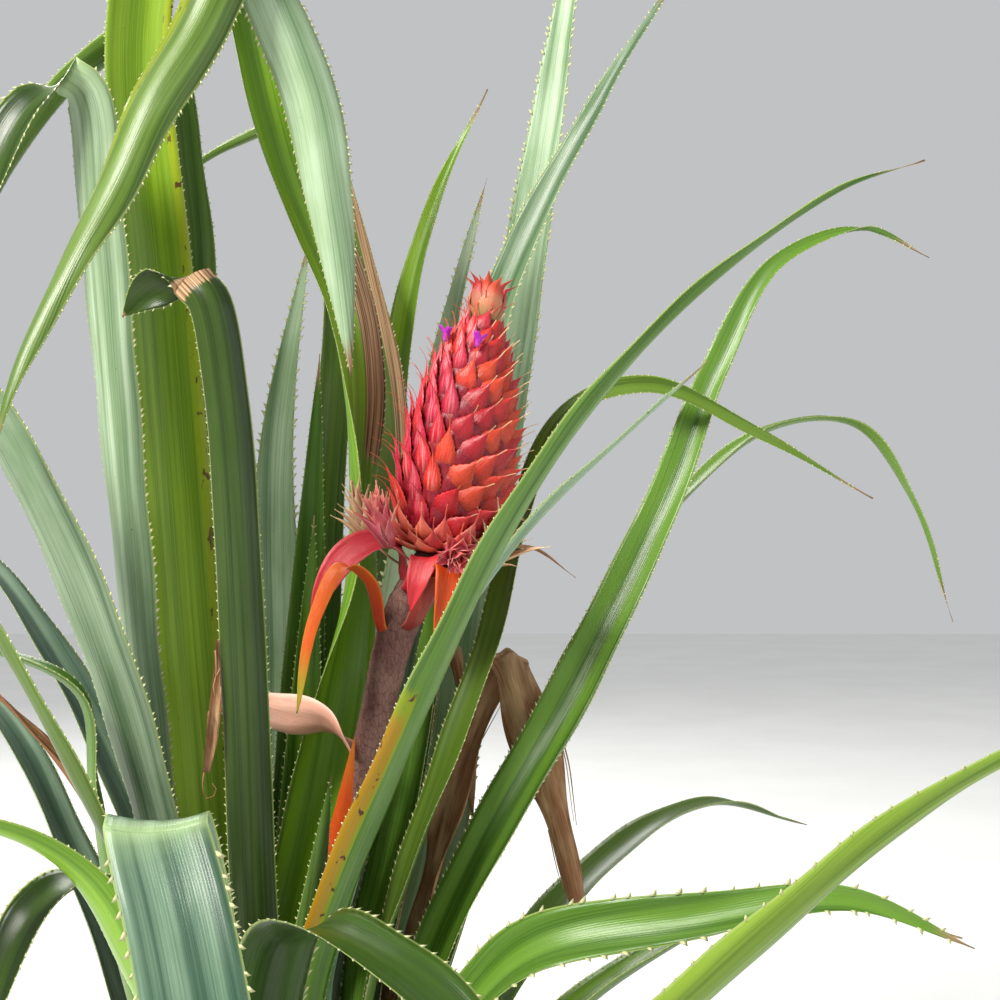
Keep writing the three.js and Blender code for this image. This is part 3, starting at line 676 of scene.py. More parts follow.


# Leaf looks: deep green, light green, and the whitish bloom on the inner face and on the outer one,
# which is partly the leaf's real wax and scurf and partly a painted sheen of reflected sky
LEAF_LOOKS = {
    "green": ((0.026, 0.07, 0.003), (0.096, 0.19, 0.008), 0.04, 0.09),
    # Painted backlight: the yellow-green glow of leaves lit from behind, laid into their colour
    "bright": ((0.085, 0.19, 0.004), (0.23, 0.4, 0.01), 0.04, 0.07),
    "silver": ((0.026, 0.074, 0.022), (0.098, 0.188, 0.072), 0.3, 0.38),
    "blue": ((0.014, 0.058, 0.034), (0.056, 0.145, 0.086), 0.23, 0.28),
    # The most bloom: partly real silver scurf, partly a painted highlight and sky sheen
    "pale": ((0.08, 0.15, 0.058), (0.22, 0.32, 0.15), 0.5, 0.52),
    # Painted shade: leaves that stood in shadow, made near black-green
    "shade": ((0.008, 0.023, 0.001), (0.03, 0.066, 0.003), 0.01, 0.03),
    # An olive green, darkened by painted shade
    "olive": ((0.032, 0.052, 0.006), (0.09, 0.125, 0.014), 0.05, 0.12),
    "slate": ((0.02, 0.05, 0.034), (0.072, 0.138, 0.088), 0.28, 0.34),
}
# The bloom's colour: partly real wax and scurf, partly a painted sheen of reflected sky
BLOOM_AND_SHEEN = (0.44, 0.54, 0.4)
MARGIN = (0.33, 0.42, 0.12)
TOOTH = (0.56, 0.56, 0.3)
YELLOW_GREEN = (0.26, 0.32, 0.01)
ORANGE_YELLOW = (0.44, 0.16, 0.01)
FOOT = (0.52, 0.58, 0.34)
CREASE_HIGHLIGHT = (0.42, 0.58, 0.26)
DRY_BODY = (0.35, 0.16, 0.074)
DRY_LIGHT = (0.57, 0.37, 0.2)
DRY_PALE = (0.64, 0.47, 0.27)
DRY_DARK = (0.08, 0.032, 0.014)


def leaf_material(name, look):
    deep, light, inner_bloom_and_sheen, outer_bloom_and_sheen = look
    m = Surface(name)
    inner, edge, far, seed = m.value("inner"), m.value("edge"), m.value("far"), m.value("seed")
    start = m.math("MULTIPLY_ADD", seed, 60.0, m.times(inner, 17.0))
    streaks = m.grain(1.3, 0.006, start, detail=4.0, roughness=0.65)
    bands = m.grain(0.11, 0.0016, start, detail=2.0)
    clouds = m.grain(0.05, 0.014, start)
    scars = m.grain(0.45, 0.0025, start, detail=1.0)
    specks = m.grain(0.7, 0.35, start, detail=2.0)

    # Whitish bloom, partly real wax and partly a painted sheen of reflected sky, mottled by bands, clouds
    # and streaks
    bloom_and_sheen = m.math("MULTIPLY_ADD", inner, inner_bloom_and_sheen - outer_bloom_and_sheen, outer_bloom_and_sheen)
    wax_and_sheen_pattern = m.times(m.fit(bands, 0.34, 0.6, 0.35, 1.25), m.fit(clouds, 0.3, 0.65, 0.45, 1.1))
    wax_and_sheen_pattern = m.times(wax_and_sheen_pattern, m.fit(streaks, 0.3, 0.7, 0.6, 1.2))
    waxed_and_sheen = m.math("MINIMUM", m.times(wax_and_sheen_pattern, bloom_and_sheen), 0.92)
    colour = m.cover(
        deep,
        (m.fit(bands, 0.36, 0.64), light),
        (m.fit(streaks, 0.35, 0.75, 0.0, 0.6), light),
        (m.fit(streaks, 0.3, 0.44, 0.55, 0.0), deep),
        (waxed_and_sheen, BLOOM_AND_SHEEN),
        (m.fit(scars, 0.7, 0.74, 0.0, 0.5), deep),
        (m.fit(specks, 0.73, 0.78, 0.0, 0.7), DRY_DARK),
    )
    colour = m.tone(colour, m.fit(seed, 0.0, 1.0, 0.49, 0.51), m.fit(seed, 0.0, 1.0, 0.86, 1.14))

    yellowed = m.math("ADD", m.value("yellowed"), m.math("SUBTRACT", streaks, 0.5))
    spots = m.grain(0.22, 0.1, start, detail=2.0)
    blots = m.times(m.fit(spots, 0.63, 0.66), m.fit(yellowed, 0.4, 0.8))
    ragged = m.math("ADD", far, m.times(m.math("SUBTRACT", clouds, 0.5), 0.05))
    dead = m.math("ADD", m.value("withered"), m.times(m.math("SUBTRACT", streaks, 0.5), 0.9))
    dead = m.math("MAXIMUM", m.fit(dead, 0.35, 0.6), m.fit(ragged, 0.955, 0.985, 0.0, 0.9))
    colour = m.cover(
        colour,
        (m.fit(edge, 0.93, 0.99, 0.0, 0.7), MARGIN),
        # Painted highlight along a sound crease
        (m.times(m.value("fold"), 0.6), CREASE_HIGHLIGHT),
        (m.fit(yellowed, 0.3, 0.8, 0.0, 0.85), YELLOW_GREEN),
        (m.fit(yellowed, 1.2, 1.8, 0.0, 0.9), ORANGE_YELLOW),
        (m.fit(far, 0.0, 0.1, 0.7, 0.0), FOOT),
        (blots, DRY_DARK),
        (dead, m.mix(m.fit(streaks, 0.35, 0.7), DRY_DARK, DRY_LIGHT)),
        (m.fit(edge, 1.2, 1.3), TOOTH),
    )

    ridges = m.math("SINE", m.times(m.value("across"), 5.2))
    normal = m.bump(streaks, 0.25, 0.0005, m.bump(ridges, 0.12, 0.0001, m.bump(clouds, 0.3, 0.002)))
    roughness = m.math("ADD", m.fit(waxed_and_sheen, 0.0, 0.9, 0.3, 0.5), m.times(dead, 0.35))
    return m.finish(colour, roughness, Normal=normal, Specular_IOR_Level=0.28)


def dry_material(name):
    m = Surface(name)
    start = m.times(m.value("seed"), 40.0)
    fibres = m.grain(1.8, 0.012, start, detail=5.0, roughness=0.7)
    blotches = m.grain(0.08, 0.02, start)
    colour = m.cover(
        DRY_DARK,
        (m.fit(fibres, 0.3, 0.6), DRY_BODY),
        (m.fit(blotches, 0.4, 0.66, 0.0, 0.8), DRY_LIGHT),
        (m.fit(fibres, 0.62, 0.74, 0.0, 0.7), DRY_PALE),
    )
    normal = m.bump(fibres, 0.8, 0.0018, m.bump(blotches, 0.5, 0.003))
    return m.finish(colour, 0.85, Normal=normal, Specular_IOR_Level=0.2)


# Bract looks: colour at the foot, in the middle, at the tip and of the margin, and the roughness
BRACT_LOOKS = {
    "crimson": ((0.42, 0.014, 0.014), (0.6, 0.028, 0.026), (0.62, 0.03, 0.026), (0.74, 0.13, 0.11), 0.34),
    "flame": ((0.44, 0.02, 0.005), (0.54, 0.038, 0.003), (0.5, 0.11, 0.008), (0.66, 0.1, 0.016), 0.38),
    "arch": ((0.5, 0.016, 0.006), (0.64, 0.09, 0.006), (0.29, 0.3, 0.02), (0.74, 0.22, 0.03), 0.38),
    "pink": ((0.72, 0.26, 0.21), (0.86, 0.43, 0.34), (0.64, 0.2, 0.15), (0.86, 0.56, 0.48), 0.5),
    # Painted shade: a red bract's recurved underside, darkened to brown-red
    "painted_shade_brick": ((0.3, 0.03, 0.018), (0.44, 0.066, 0.034), (0.46, 0.14, 0.07), (0.6, 0.2, 0.12), 0.45),
    # Its foot colour, on the bract feet and the core between them, is deep crimson with painted shade in
    # the gaps
    "fruit": ((0.17, 0.002, 0.004), (0.56, 0.008, 0.014), (0.68, 0.08, 0.03), (0.64, 0.06, 0.044), 0.26),
    "skirt": ((0.42, 0.03, 0.028), (0.64, 0.09, 0.07), (0.66, 0.09, 0.05), (0.78, 0.27, 0.2), 0.4),
    "tuft": ((0.33, 0.21, 0.08), (0.48, 0.16, 0.09), (0.5, 0.022, 0.016), (0.56, 0.17, 0.1), 0.42),
    "slip": ((0.44, 0.05, 0.07), (0.66, 0.09, 0.12), (0.7, 0.24, 0.17), (0.82, 0.42, 0.36), 0.45),
    "tan": ((0.4, 0.15, 0.08), (0.54, 0.3, 0.17), (0.64, 0.46, 0.27), (0.7, 0.5, 0.32), 0.6),
}
# Painted light on the fruit's bracts: magenta where they are painted lit, coral where they are painted
# shaded, and a pinkish white painted highlight
LIT_SIDE_MAGENTA = (0.61, 0.008, 0.044)
SHADED_SIDE_CORAL = (0.43, 0.015, 0.009)
PAINTED_HIGHLIGHT = (0.88, 0.48, 0.5)
AWN = (0.62, 0.4, 0.22)
PETAL_FOOT = (0.6, 0.06, 0.42)
PETAL = (0.44, 0.014, 0.46)
PETAL_STREAK = (0.64, 0.11, 0.62)


def bract_material(name, look):
    foot, body, tip, margin, dull = look
    m = Surface(name + "_bract")
    far, edge, seed, warm = m.value("far"), m.value("edge"), m.value("seed"), m.value("warm")
    start = m.times(seed, 80.0)
    streaks = m.grain(1.7, 0.05, start, detail=4.0, roughness=0.65)
    blush = m.grain(0.16, 0.07, start)
    dust = m.grain(1.1, 0.8, start, detail=4.0, roughness=0.7)

    colour, on_fruit = body, name == "fruit"
    if on_fruit:
        # Painted light and shade: lit bracts magenta with a painted highlight down their middles, shaded
        # ones coral
        highlight_mask = m.times(m.fit(warm, 0.2, 1.2, 0.8, 0.0), m.fit(streaks, 0.46, 0.66))
        colour = m.cover(
            LIT_SIDE_MAGENTA,
            (m.fit(warm, 0.0, 1.0), body),
            (m.fit(warm, 1.0, 2.0), SHADED_SIDE_CORAL),
            (m.times(highlight_mask, m.fit(edge, 0.3, 0.8, 1.0, 0.0)), PAINTED_HIGHLIGHT),
        )
    tip_starts = 0.45 if name == "tuft" else 0.7
    coats = [
        (m.fit(far, 0.05, 0.4, 0.9, 0.0), foot),
        (m.fit(blush, 0.48, 0.74, 0.0, 0.45), margin),
        (m.fit(streaks, 0.52, 0.74, 0.0, 0.32), margin),
        (m.fit(streaks, 0.28, 0.46, 0.6, 0.0), foot),
        (m.fit(edge, 0.84, 0.99, 0.0, 0.6), margin),
        (m.fit(far, tip_starts, tip_starts + 0.22, 0.0, 0.85), tip),
    ]
    if on_fruit:
        coats.append((m.times(m.fit(warm, 1.2, 1.8), m.fit(far, 0.72, 0.84)), AWN))
    coats += [
        (m.fit(dust, 0.6, 0.76, 0.0, 0.35), margin),
        (m.fit(dust, 0.24, 0.34, 0.5, 0.0), DRY_DARK),
    ]
    colour = m.cover(colour, *coats)
    colour = m.tone(colour, m.fit(seed, 0.0, 1.0, 0.493, 0.508), m.fit(seed, 0.0, 1.0, 0.82, 1.16))
    normal = m.bump(streaks, 0.45, 0.0008, m.bump(blush, 0.35, 0.0014, m.bump(dust, 0.2, 0.0004)))
    roughness = m.fit(dust, 0.3, 0.7, dull - 0.06, dull + 0.16)
    return m.finish(colour, roughness, Normal=normal, Specular_IOR_Level=0.4)


def scaly_material(name, ground, flakes, dark, scale, stretch):
    """Bark or skin cracked into small plates that are drawn out along the height."""
    m = Surface(name)
    here = m.add("TexCoord", "Object", {})
    where = m.add("VectorMath", 0, {0: here, 1: (1, 1, 1 / stretch)}, operation="MULTIPLY")
    fine = m.noise(where, scale=900.0, detail=4.0, roughness=0.7)
    broad = m.noise(where, scale=70.0, detail=3.0)
    cells = m.add("TexVoronoi", "Distance", {"Vector": where, "Scale": scale}, feature="DISTANCE_TO_EDGE")
    cracks = m.fit(cells, 0.0, 0.1)
    colour = m.cover(
        ground,
        (m.fit(broad, 0.38, 0.64), flakes),
        (m.fit(fine, 0.42, 0.65, 0.0, 0.6), flakes),
        (m.fit(cracks, 0.0, 1.0, 0.55, 0.0), dark),
    )
    normal = m.bump(fine, 0.6, 0.0008, m.bump(cracks, 0.4, 0.0008))
    return m.finish(colour, 0.72, Normal=normal, Specular_IOR_Level=0.3)


def petal_material():
    m = Surface("petal")
    streaks = m.grain(2.0, 0.4, 1.0)
    colour = m.cover(
        PETAL_FOOT,
        (m.fit(m.value("far"), 0.0, 0.5), PETAL),
        (m.fit(streaks, 0.5, 0.8, 0.0, 0.5), PETAL_STREAK),
    )
    return m.finish(colour, 0.4, Normal=m.bump(streaks, 0.3, 0.0005), Specular_IOR_Level=0.4)


leaf_materials = {name: leaf_material("leaf_" + name, look) for name, look in LEAF_LOOKS.items()}
leaf_materials["dry"] = dry_material("leaf_dry")
bract_materials = {name: bract_material(name, look) for name, look in BRACT_LOOKS.items()}
bract_materials["dry"] = leaf_materials["dry"]
bract_materials["petal"] = petal_material()


# Leaves

def leaf_shape(foot, end):
    """The leaf's own taper: it widens from its foot and narrows to its end."""
    def shape(u):
        fall = np.maximum(0, (u - WIDEST_TO) / (1 - WIDEST_TO)) ** NARROWING_POWER
        return (foot + (1 - foot) * smoothstep(u, 0, WIDEST_FROM)) * (1 - (1 - end) * fall)
    return shape


def stem_seat(k):
    """Where foot number k sits on the stem's spiral, and the collar that turns the leaf upwards."""
    z = FOOT_LOWEST + FOOT_STEP * k
    out = toward(math.radians(GOLDEN_ANGLE * k))
    at = np.array([STEM_LEAN * z, 0, z]) + out * (along_profile(STEM_PROFILE, z) + SEAT_GAP)
    share = k / FOOT_COUNT
    return at, at + out * spread(COLLAR_OUT, share) + UP * spread(COLLAR_UP, share)


def stretch_of(margin, s, u):
    """How far each place lies in a stretch that is given as side, start across, start and end along."""
    side, out, low, high = margin
    begins = smoothstep(u, low - 0.02, low + 0.03) if low > 0 else 1.0
    ends = 1 - smoothstep(u, high - 0.03, high + 0.02) if high < 1 else 1.0
    return smoothstep(side * s, out - 0.12, out + 0.12) * begins * ends


def leaf_marks(traits, hangs, creased):
    """Where a leaf is creased, withered or yellowed, from its traits. A torn crease has withered."""
    def marks(s, u, length):
        fold = np.zeros((len(u), s.shape[1]))
        withered, yellowed = fold, fold
        if hangs:
            fold = fold + np.exp(-(u * length / FOLD_REACH) ** 2)
        if creased:
            fold = np.maximum(fold, np.exp(-((1 - u) * length / FOLD_REACH) ** 2))
        if "torn" in traits:
            fold, withered = withered, fold
        if "withered" in traits:
            withered = np.maximum(withered, stretch_of(traits["withered"], s, u))
        if "yellowed" in traits:
            yellowed = traits.get("yellow", 1.0) * stretch_of(traits["yellowed"], s, u)
        return {"fold": fold, "withered": withered, "yellowed": yellowed}
    return marks


def strand(points, girth, seed):
    """A loose fibre: a thin five-sided thread."""
    line = Line(points)
    rows = max(4, round(line.length / 4))
    u = np.linspace(0, 1, rows)
    tangent = line.tangent(u)
    side = unit(np.cross(tangent, [0.2, 0.9, 0.35]))
    radius = (girth / 2 * (1 - 0.6 * u))[:, None, None]
    rings = line.at(u)[:, None, :] + radius * circles(turns(5), side, np.cross(tangent, side))
    return tube(rings, "ribbon", across=0.3 * seed, along=(u * line.length)[:, None], seed=seed)


def loose_fibres(leaf, count):
    """Fibres that have come off the margins of a dry leaf."""
    threads = []
    for _ in range(count):
        margin = leaf.margins[int(chance.integers(2))]
        first = int(chance.integers(2, max(3, len(margin) - 14)))
        run = margin[first:first + int(chance.integers(8, 14)):2]
        away = unit(chance.standard_normal(3)) * chance.uniform(2.0, 5.0)
        bow = np.sin(np.linspace(0, 2.2, len(run)))[:, None]
        threads.append(strand(run + away * bow, chance.uniform(0.7, 1.3), float(chance.random())))
    return threads


def make_leaves():
    made, before = {}, None
    for name, finish, k, width, faces, end, *via in LEAVES:
        traits = LEAF_TRAITS.get(name, {})
        look = traits.get("look", finish)
        hangs, creased, dry = k is None, end > 0, look == "dry"
        points = [before.line.at(1.0), *via] if hangs else [*stem_seat(k), *via]
        leaf = blade(
            points, width, leaf_shape(1 if hangs else FOOT_WIDTH, end), faces=faces,
            roll=traits.get("roll", 0),
            channel=traits.get("channel", DRY_CHANNEL if dry else LEAF_CHANNEL),
            wave=DRY_WAVE if dry else LIVING_WAVE, crumple=1.0 if dry else 0.0,
            start=before.rings[-1] if hangs else None,
            reach=(HANGING_REACH if hangs else 0.0, CREASE_REACH if creased else 1.0),
            marks=leaf_marks(traits, hangs, creased),
            seed=before.seed if hangs else float(chance.random()),
        )
        if dry:
            parts = [leaf.skin, *loose_fibres(leaf, FIBRES_ON_DRY_LEAF)]
        else:
            height = TOOTH_HEIGHT * traits.get("tooth", 1.0)
            parts = [leaf.skin, teeth(leaf, height, TOOTH_SPACING * traits.get("pitch", 1.0))]
        make_piece(name + "_blade", parts, leaf_materials[look], [name])
        made[name] = leaf
        before = leaf
    return made


# A torn strip that has dried and hangs along the left margin of the tall front leaf
STRIP_LEAF = "leaf_front_tall"
STRIP_TOP, STRIP_FOOT = 508, 418
STRIP_WIDTH = 7


def make_torn_strip(leaf):
    margin = min(leaf.margins, key=lambda edge: edge[:, 0].mean())
    run = margin[(margin[:, 2] < STRIP_TOP) & (margin[:, 2] > STRIP_FOOT)][::-3]
    drift = np.linspace(0, 1, len(run))[:, None] ** 1.5 * np.array([-9.0, -5.0, 0])
    run = run + np.array([-0.8, -1.2, 0]) + drift
    curl = [run[-1] + np.array(step) for step in ((-1, -3, -9), (3, -6, -14), (7, -4, -10), (4, -1, -6))]
    strip = blade(
        run, STRIP_WIDTH, lambda u: 0.35 + 0.65 * np.sin(np.pi * (0.1 + 0.75 * u)), side=(1, 0.4, 0),
        thickness=0.8, spacing=2, columns=6, wave=1.2, crumple=1.0, channel=0.4, seed=0.3,
    )
    fibres = [strand([run[-2], *curl], 1.2, 0.7), *loose_fibres(strip, 4)]
    make_piece("torn_strip", [strip.skin, *fibres], leaf_materials["dry"], [])


# Scape, bracts and slips

scape_line = Line(SCAPE_POINTS)
SEAT_DEPTH = 0.6


def scape_seat(u, degrees):
    """The point on the scape's skin at a share of its length and a bearing, its outward direction
    and the scape's own."""
    line = scape_line.tangent(np.array([u]))[0]
    out = square_to(toward(math.radians(degrees)), line)
    return scape_line.at(np.array([u]))[0] + out * (spread(SCAPE_RADII, u) - SEAT_DEPTH), out, line


def scar_pattern(turn, height, spirals):
    """Scars where two opposite sets of spirals meet, each set given as its count round the axis and
    how much its angle turns in a millimetre of height."""
    (left, left_twist), (right, right_twist) = spirals
    crossing = np.cos(left * turn + height * left_twist) * np.cos(right * turn - height * right_twist)
    return np.maximum(crossing, 0)


SCAPE_SCARS = ((3, 0.21), (2, 0.16))


def make_scape():
    rows, columns = 170, 36
    u, turn = np.linspace(0, 1, rows), turns(columns)
    tangent = scape_line.tangent(u)
    side = square_to(np.array([1.0, 0, 0]), tangent)
    height = u[:, None] * scape_line.length
    scars = scar_pattern(turn, height, SCAPE_SCARS)
    relief = 0.5 * scars ** 2 + 0.15 * chance.standard_normal((rows, columns))
    radius = spread(SCAPE_RADII, u)[:, None] + relief
    around = circles(turn, side, np.cross(tangent, side))
    rings = scape_line.at(u)[:, None, :] + radius[:, :, None] * around
    skin = tube(rings, along=height, far=u[:, None])
    bark = scaly_material(
        "scape_skin", ground=(0.13, 0.048, 0.042), flakes=(0.26, 0.135, 0.11), dark=(0.06, 0.024, 0.02),
        scale=420, stretch=2.5,
    )
    make_piece("scape_skin", [skin], bark, ["scape"])


def lance(u):
    """A pointed bract's share of its width."""
    return (0.75 + 0.25 * smoothstep(u, 0, 0.3)) * (1 - smoothstep(u, 0.25, 1.05)) + 0.02


def awned(u):
    """A pointed bract that runs out into a stiff thread."""
    return (0.8 + 0.2 * smoothstep(u, 0, 0.3)) * (1 - smoothstep(u, 0.3, 0.8)) + 0.075 * (1 - 0.6 * u)


def make_bracts():
    for name, finish, u, degrees, width, faces, roll, *via in BRACTS:
        traits = BRACT_TRAITS.get(name, {})
        at, out, line = scape_seat(u, degrees)
        bract = blade(
            [at, at + out * 4 + line * 4, *via], width * traits.get("wide", 1.15),
            leaf_shape(traits.get("foot", 0.7), traits.get("end", 0)), faces=faces, roll=roll,
            channel=traits.get("channel", 0.17), thickness=1.1, spacing=1.6, columns=10, wave=0.6,
            crumple=0.25, seed=float(chance.random()), warm=1.0,
        )
        parts = [bract.skin]
        if finish != "dry":
            parts.append(teeth(bract, traits.get("teeth", 0.6), 2.2))
        material = bract_materials[traits.get("look", finish)]
        make_piece(name + "_blade", parts, material, [name])


def leaflet(points, width, shape, side, serration, channel, crumple, thickness=1.0, spacing=1.6,
            columns=8, warm=1.0):
    """A small saw-edged blade."""
    return blade(
        points, width, shape, side=side, thickness=thickness, spacing=spacing, columns=columns,
        serration=serration, channel=channel, crumple=crumple, seed=float(chance.random()), warm=warm,
    ).skin


def rosette(at, axis, count, length, width, opening, lift, reach, crumple, shape=lance):
    """Small pointed leaflets in a spiral round an axis: the inner ones stand, the outer ones open."""
    axis, side, other = axis_frame(axis)
    patches = []
    for n in range(count):
        share = n / max(1, count - 1)
        bearing = math.radians(GOLDEN_ANGLE * n)
        out = side * math.cos(bearing) + other * math.sin(bearing)
        lean = math.radians(opening * (1 - share))
        ahead = axis * math.cos(lean) + out * math.sin(lean)
        size = 0.75 + 0.25 * chance.random()
        foot = at + axis * lift * share + out * reach * (1 - 0.7 * share)
        tip = ahead * 0.8 + unit(ahead + out * 0.35) * 0.3
        points = [
            foot - axis * 1.5,
            foot + ahead * length * size * 0.4,
            foot + ahead * length * size * 0.75,
            foot + tip * length * size,
        ]
        patches.append(leaflet(
            points, width * size, shape, np.cross(axis, out), serration=0.08, channel=0.28,
            crumple=crumple, thickness=0.7, spacing=1.2, columns=6,
        ))
    return patches


def bud(at, axis, radius, length, low=0.0):
    """A small egg-shaped core."""
    rows, columns = 12, 14
    u = np.linspace(0, 1, rows)
    axis, side, other = axis_frame(axis)
    girth = radius * (0.25 + 0.75 * np.sin(np.pi * np.clip(u * 0.9 + 0.08, 0, 1)))
    around = circles(turns(columns), side[None], other[None])
    rings = (np.asarray(at) + axis * (u * length)[:, None])[:, None, :] + girth[:, None, None] * around
    return tube(rings, far=low + u[:, None] * 0.6, warm=1.0)


def make_slips():
    for name, look, u, degrees, girth, opening, wide, reach, *via in SLIPS:
        at, out, line = scape_seat(u, degrees)
        path = Line([at, *via])
        foot, end = path.at(0.45), path.at(1.0)
        axis = end - foot
        length = float(np.linalg.norm(axis))
        stalk = blade(
            [at, *via], girth * 0.9, lambda v: 0.8 + 0.2 * v, side=np.cross(out, line),
            thickness=4.0, spacing=2, columns=6, channel=0.02, warm=1.0,
        )
        patches = [stalk.skin, bud(foot, axis, radius=girth * 0.62, length=length * 0.75)]
        patches += rosette(
            foot, axis, count=20, length=length * reach, width=girth * wide, opening=opening,
            lift=length * 0.3, reach=girth * 0.55, crumple=0.7,
        )
        make_piece(name + "_leaflets", patches, bract_materials[look], [name])


# Fruit head: its own frame leans over the scape's end

def make_head_piece(name, patches, look, nodes):
    """A piece whose patches are given in the fruit's own frame."""
    tilt = math.radians(FRUIT_TILT)
    turn = np.array([[math.cos(tilt), 0, math.sin(tilt)], [0, 1, 0], [-math.sin(tilt), 0, math.cos(tilt)]])
    for p in patches:
        p.points = p.points @ turn.T + np.array(FRUIT_BASE)
    make_piece(name, patches, bract_materials[look], nodes)


def fruit_places(cell):
    """A spiral of bracts over the fruit, each with about cell square millimetres: height, bearing,
    radius and share of the full size."""
    places = []
    z, n = BRACT_ZONE[0], 0
    while z < BRACT_ZONE[1]:
        radius = float(along_profile(FRUIT_PROFILE, z))
        share = min(1.0, max(LEAST_SHARE, radius / FULL_SIZE_RADIUS))
        places.append((z, math.radians(GOLDEN_ANGLE * n), radius, share))
        z += cell * share ** 2 / (2 * math.pi * radius)
        n += 1
    return places


def surface_frame(z, bearing):
    """A point on the fruit's surface, and its sideways, upward and outward directions."""
    slope = (along_profile(FRUIT_PROFILE, z + 1) - along_profile(FRUIT_PROFILE, z - 1)) / 2
    level = toward(bearing)
    up = unit(level * slope + UP)
    out = unit(level - UP * slope)
    return level * along_profile(FRUIT_PROFILE, z) + UP * z, np.cross(up, out), up, out


# The core's swellings: half their width and length, and how far they rise
SWELLING_WIDTH, SWELLING_LENGTH, SWELLING_RISE = 6.5, 7.5, 2.4


def make_fruit_core(places):
    """The fleshy axis with a swelling under each bract."""
    rows, columns = 130, 140
    z, turn = np.linspace(0, FRUIT_HEIGHT, rows), turns(columns)
    radius = np.repeat(along_profile(FRUIT_PROFILE, z)[:, None], columns, axis=1)
    swell = np.zeros_like(radius)
    for height, bearing, girth, share in places:
        around = (np.mod(turn - bearing + math.pi, 2 * math.pi) - math.pi) * girth
        far = (around / (SWELLING_WIDTH * share)) ** 2
        far = far[None, :] + ((z[:, None] - height) / (SWELLING_LENGTH * share)) ** 2
        swell = np.maximum(swell, SWELLING_RISE * share * np.sqrt(np.clip(1 - far, 0, 1)))
    radius = radius + swell - SWELLING_RISE / 2
    rings = round_body(radius, turn, z)
    # The core takes the fruit look's dark foot colour: deep crimson with painted shade between the bracts
    skin = tube(rings, across=(turn * 28)[None, :], along=z[:, None], far=0.12, warm=1.0)
    make_head_piece("fruit_core", [skin], "fruit", [])


# Fruit bracts: narrow and upright on the sunny left, broad and leaning round to the right. The
# turn from one form to the other lies where the surface faces left by these shares.
# The columns are length, width, lean in degrees, curl, rise, and a tint of painted light and shade,
# low where the left is painted lit and high where the right is painted shaded.
LEFT_BRACT = np.array([30, 11, -3, 6.5, 2.3, 0.35])
RIGHT_BRACT = np.array([25, 17, 42, 5.0, 1.7, 1.85])
TURN_FROM_LEFT, TURN_TO_RIGHT = 0.3, 0.05
# The bract's midrib: shares of its length, and of its rise and its curl off the surface there
BRACT_COURSE = (
    (0.26, 1, 0), (0.52, 1.5, 0), (0.74, 1.6, 0.35), (0.88, 1.7, 0.95), (0.98, 1.8, 1.75),
)
# The skin that one bract covers, in square millimetres
LOOK_CELL = 178


def make_fruit_bracts(places):
    patches = []
    for z, bearing, _, share in places:
        at, side, up, out = surface_frame(z, bearing)
        left = float(smoothstep(-math.cos(bearing), TURN_TO_RIGHT, TURN_FROM_LEFT))
        length, width, degrees, curl, rise, warm = RIGHT_BRACT * (1 - left) + LEFT_BRACT * left
        low = 1 - z / FRUIT_HEIGHT
        length = length * (0.5 + 0.5 * share) * (0.88 + 0.2 * low) * chance.uniform(0.93, 1.07)
        lean = math.radians(degrees * (0.6 + 0.4 * low) + chance.uniform(-5, 5))
        ahead = up * math.cos(lean) + side * math.sin(lean)
        across = side * math.cos(lean) - up * math.sin(lean)
        rise = rise * share
        curl = curl * share * chance.uniform(0.7, 1.2) * (0.7 + 0.6 * low)
        points = [at - ahead * 5 * share - out * 1.2]
        for reach, lifts, curls in BRACT_COURSE:
            points.append(at + ahead * length * reach + out * (rise * lifts + curl * curls))
        # The tint of painted light and shade also varies at random from bract to bract, and leans to coral
        # on the low left bracts
        warm = warm + chance.uniform(-0.2, 0.15) + 0.3 * low * left
        patches.append(leaflet(
            points, width * (0.35 + 0.65 * share), awned, across, serration=0.06, channel=0.17,
            crumple=0.12, thickness=1.1, warm=warm,
        ))
    make_head_piece("fruit_bracts", patches, "fruit", ["syncarp"])


# The skirt's bracts: their width, and at shares of their length how far they lift in millimetres
SKIRT_WIDTH = 14
SKIRT_COURSE = ((0.35, -1), (0.7, 1.2), (0.9, 4.2), (0.98, 7.5))


def make_fruit_skirt():
    """Rows of paler bracts that spread under the fruit."""
    patches = []
    for z, count, length, degrees in FRUIT_SKIRT:
        for n in range(count):
            bearing = 2 * math.pi * (n + 0.5 * (z > 2)) / count + chance.uniform(-0.08, 0.08)
            at, side, _, _ = surface_frame(max(z, 1.5), bearing)
            level = toward(bearing)
            lean = math.radians(degrees + chance.uniform(-7, 7))
            ahead = level * math.sin(lean) + UP * math.cos(lean)
            size = length * chance.uniform(0.85, 1.1)
            points = [at - level * 5 - ahead * 2]
            points += [at + ahead * size * reach + UP * lift for reach, lift in SKIRT_COURSE]
            patches.append(leaflet(
                points, SKIRT_WIDTH, awned, side, serration=0.06, channel=0.16, crumple=0.3))
    make_head_piece("fruit_skirt", patches, "skirt", [])


def make_front_rosette():
    """A stunted, crumpled side shoot on the front of the fruit's foot."""
    z, degrees = FRONT_ROSETTE
    at, _, up, out = surface_frame(z, math.radians(degrees))
    axis = out + up * 0.55
    patches = [bud(at - axis * 2, axis, radius=7.5, length=14)]
    patches += rosette(
        at + out * 4, axis, count=20, length=15, width=12, opening=70, lift=4.0, reach=5.0, crumple=1.0)
    make_head_piece("front_rosette", patches, "slip", [])


# The tuft: broad leaflets that close into an urn over a ring of thinner spreading ones
URN_LEAFLETS, URN_RADIUS, URN_HEIGHT, URN_WIDTH = 8, 11.5, 30, 17
URN_PROFILE = ((0.7, 0.0), (1.0, 0.28), (1.05, 0.55), (1.0, 0.78), (1.6, 1.0))


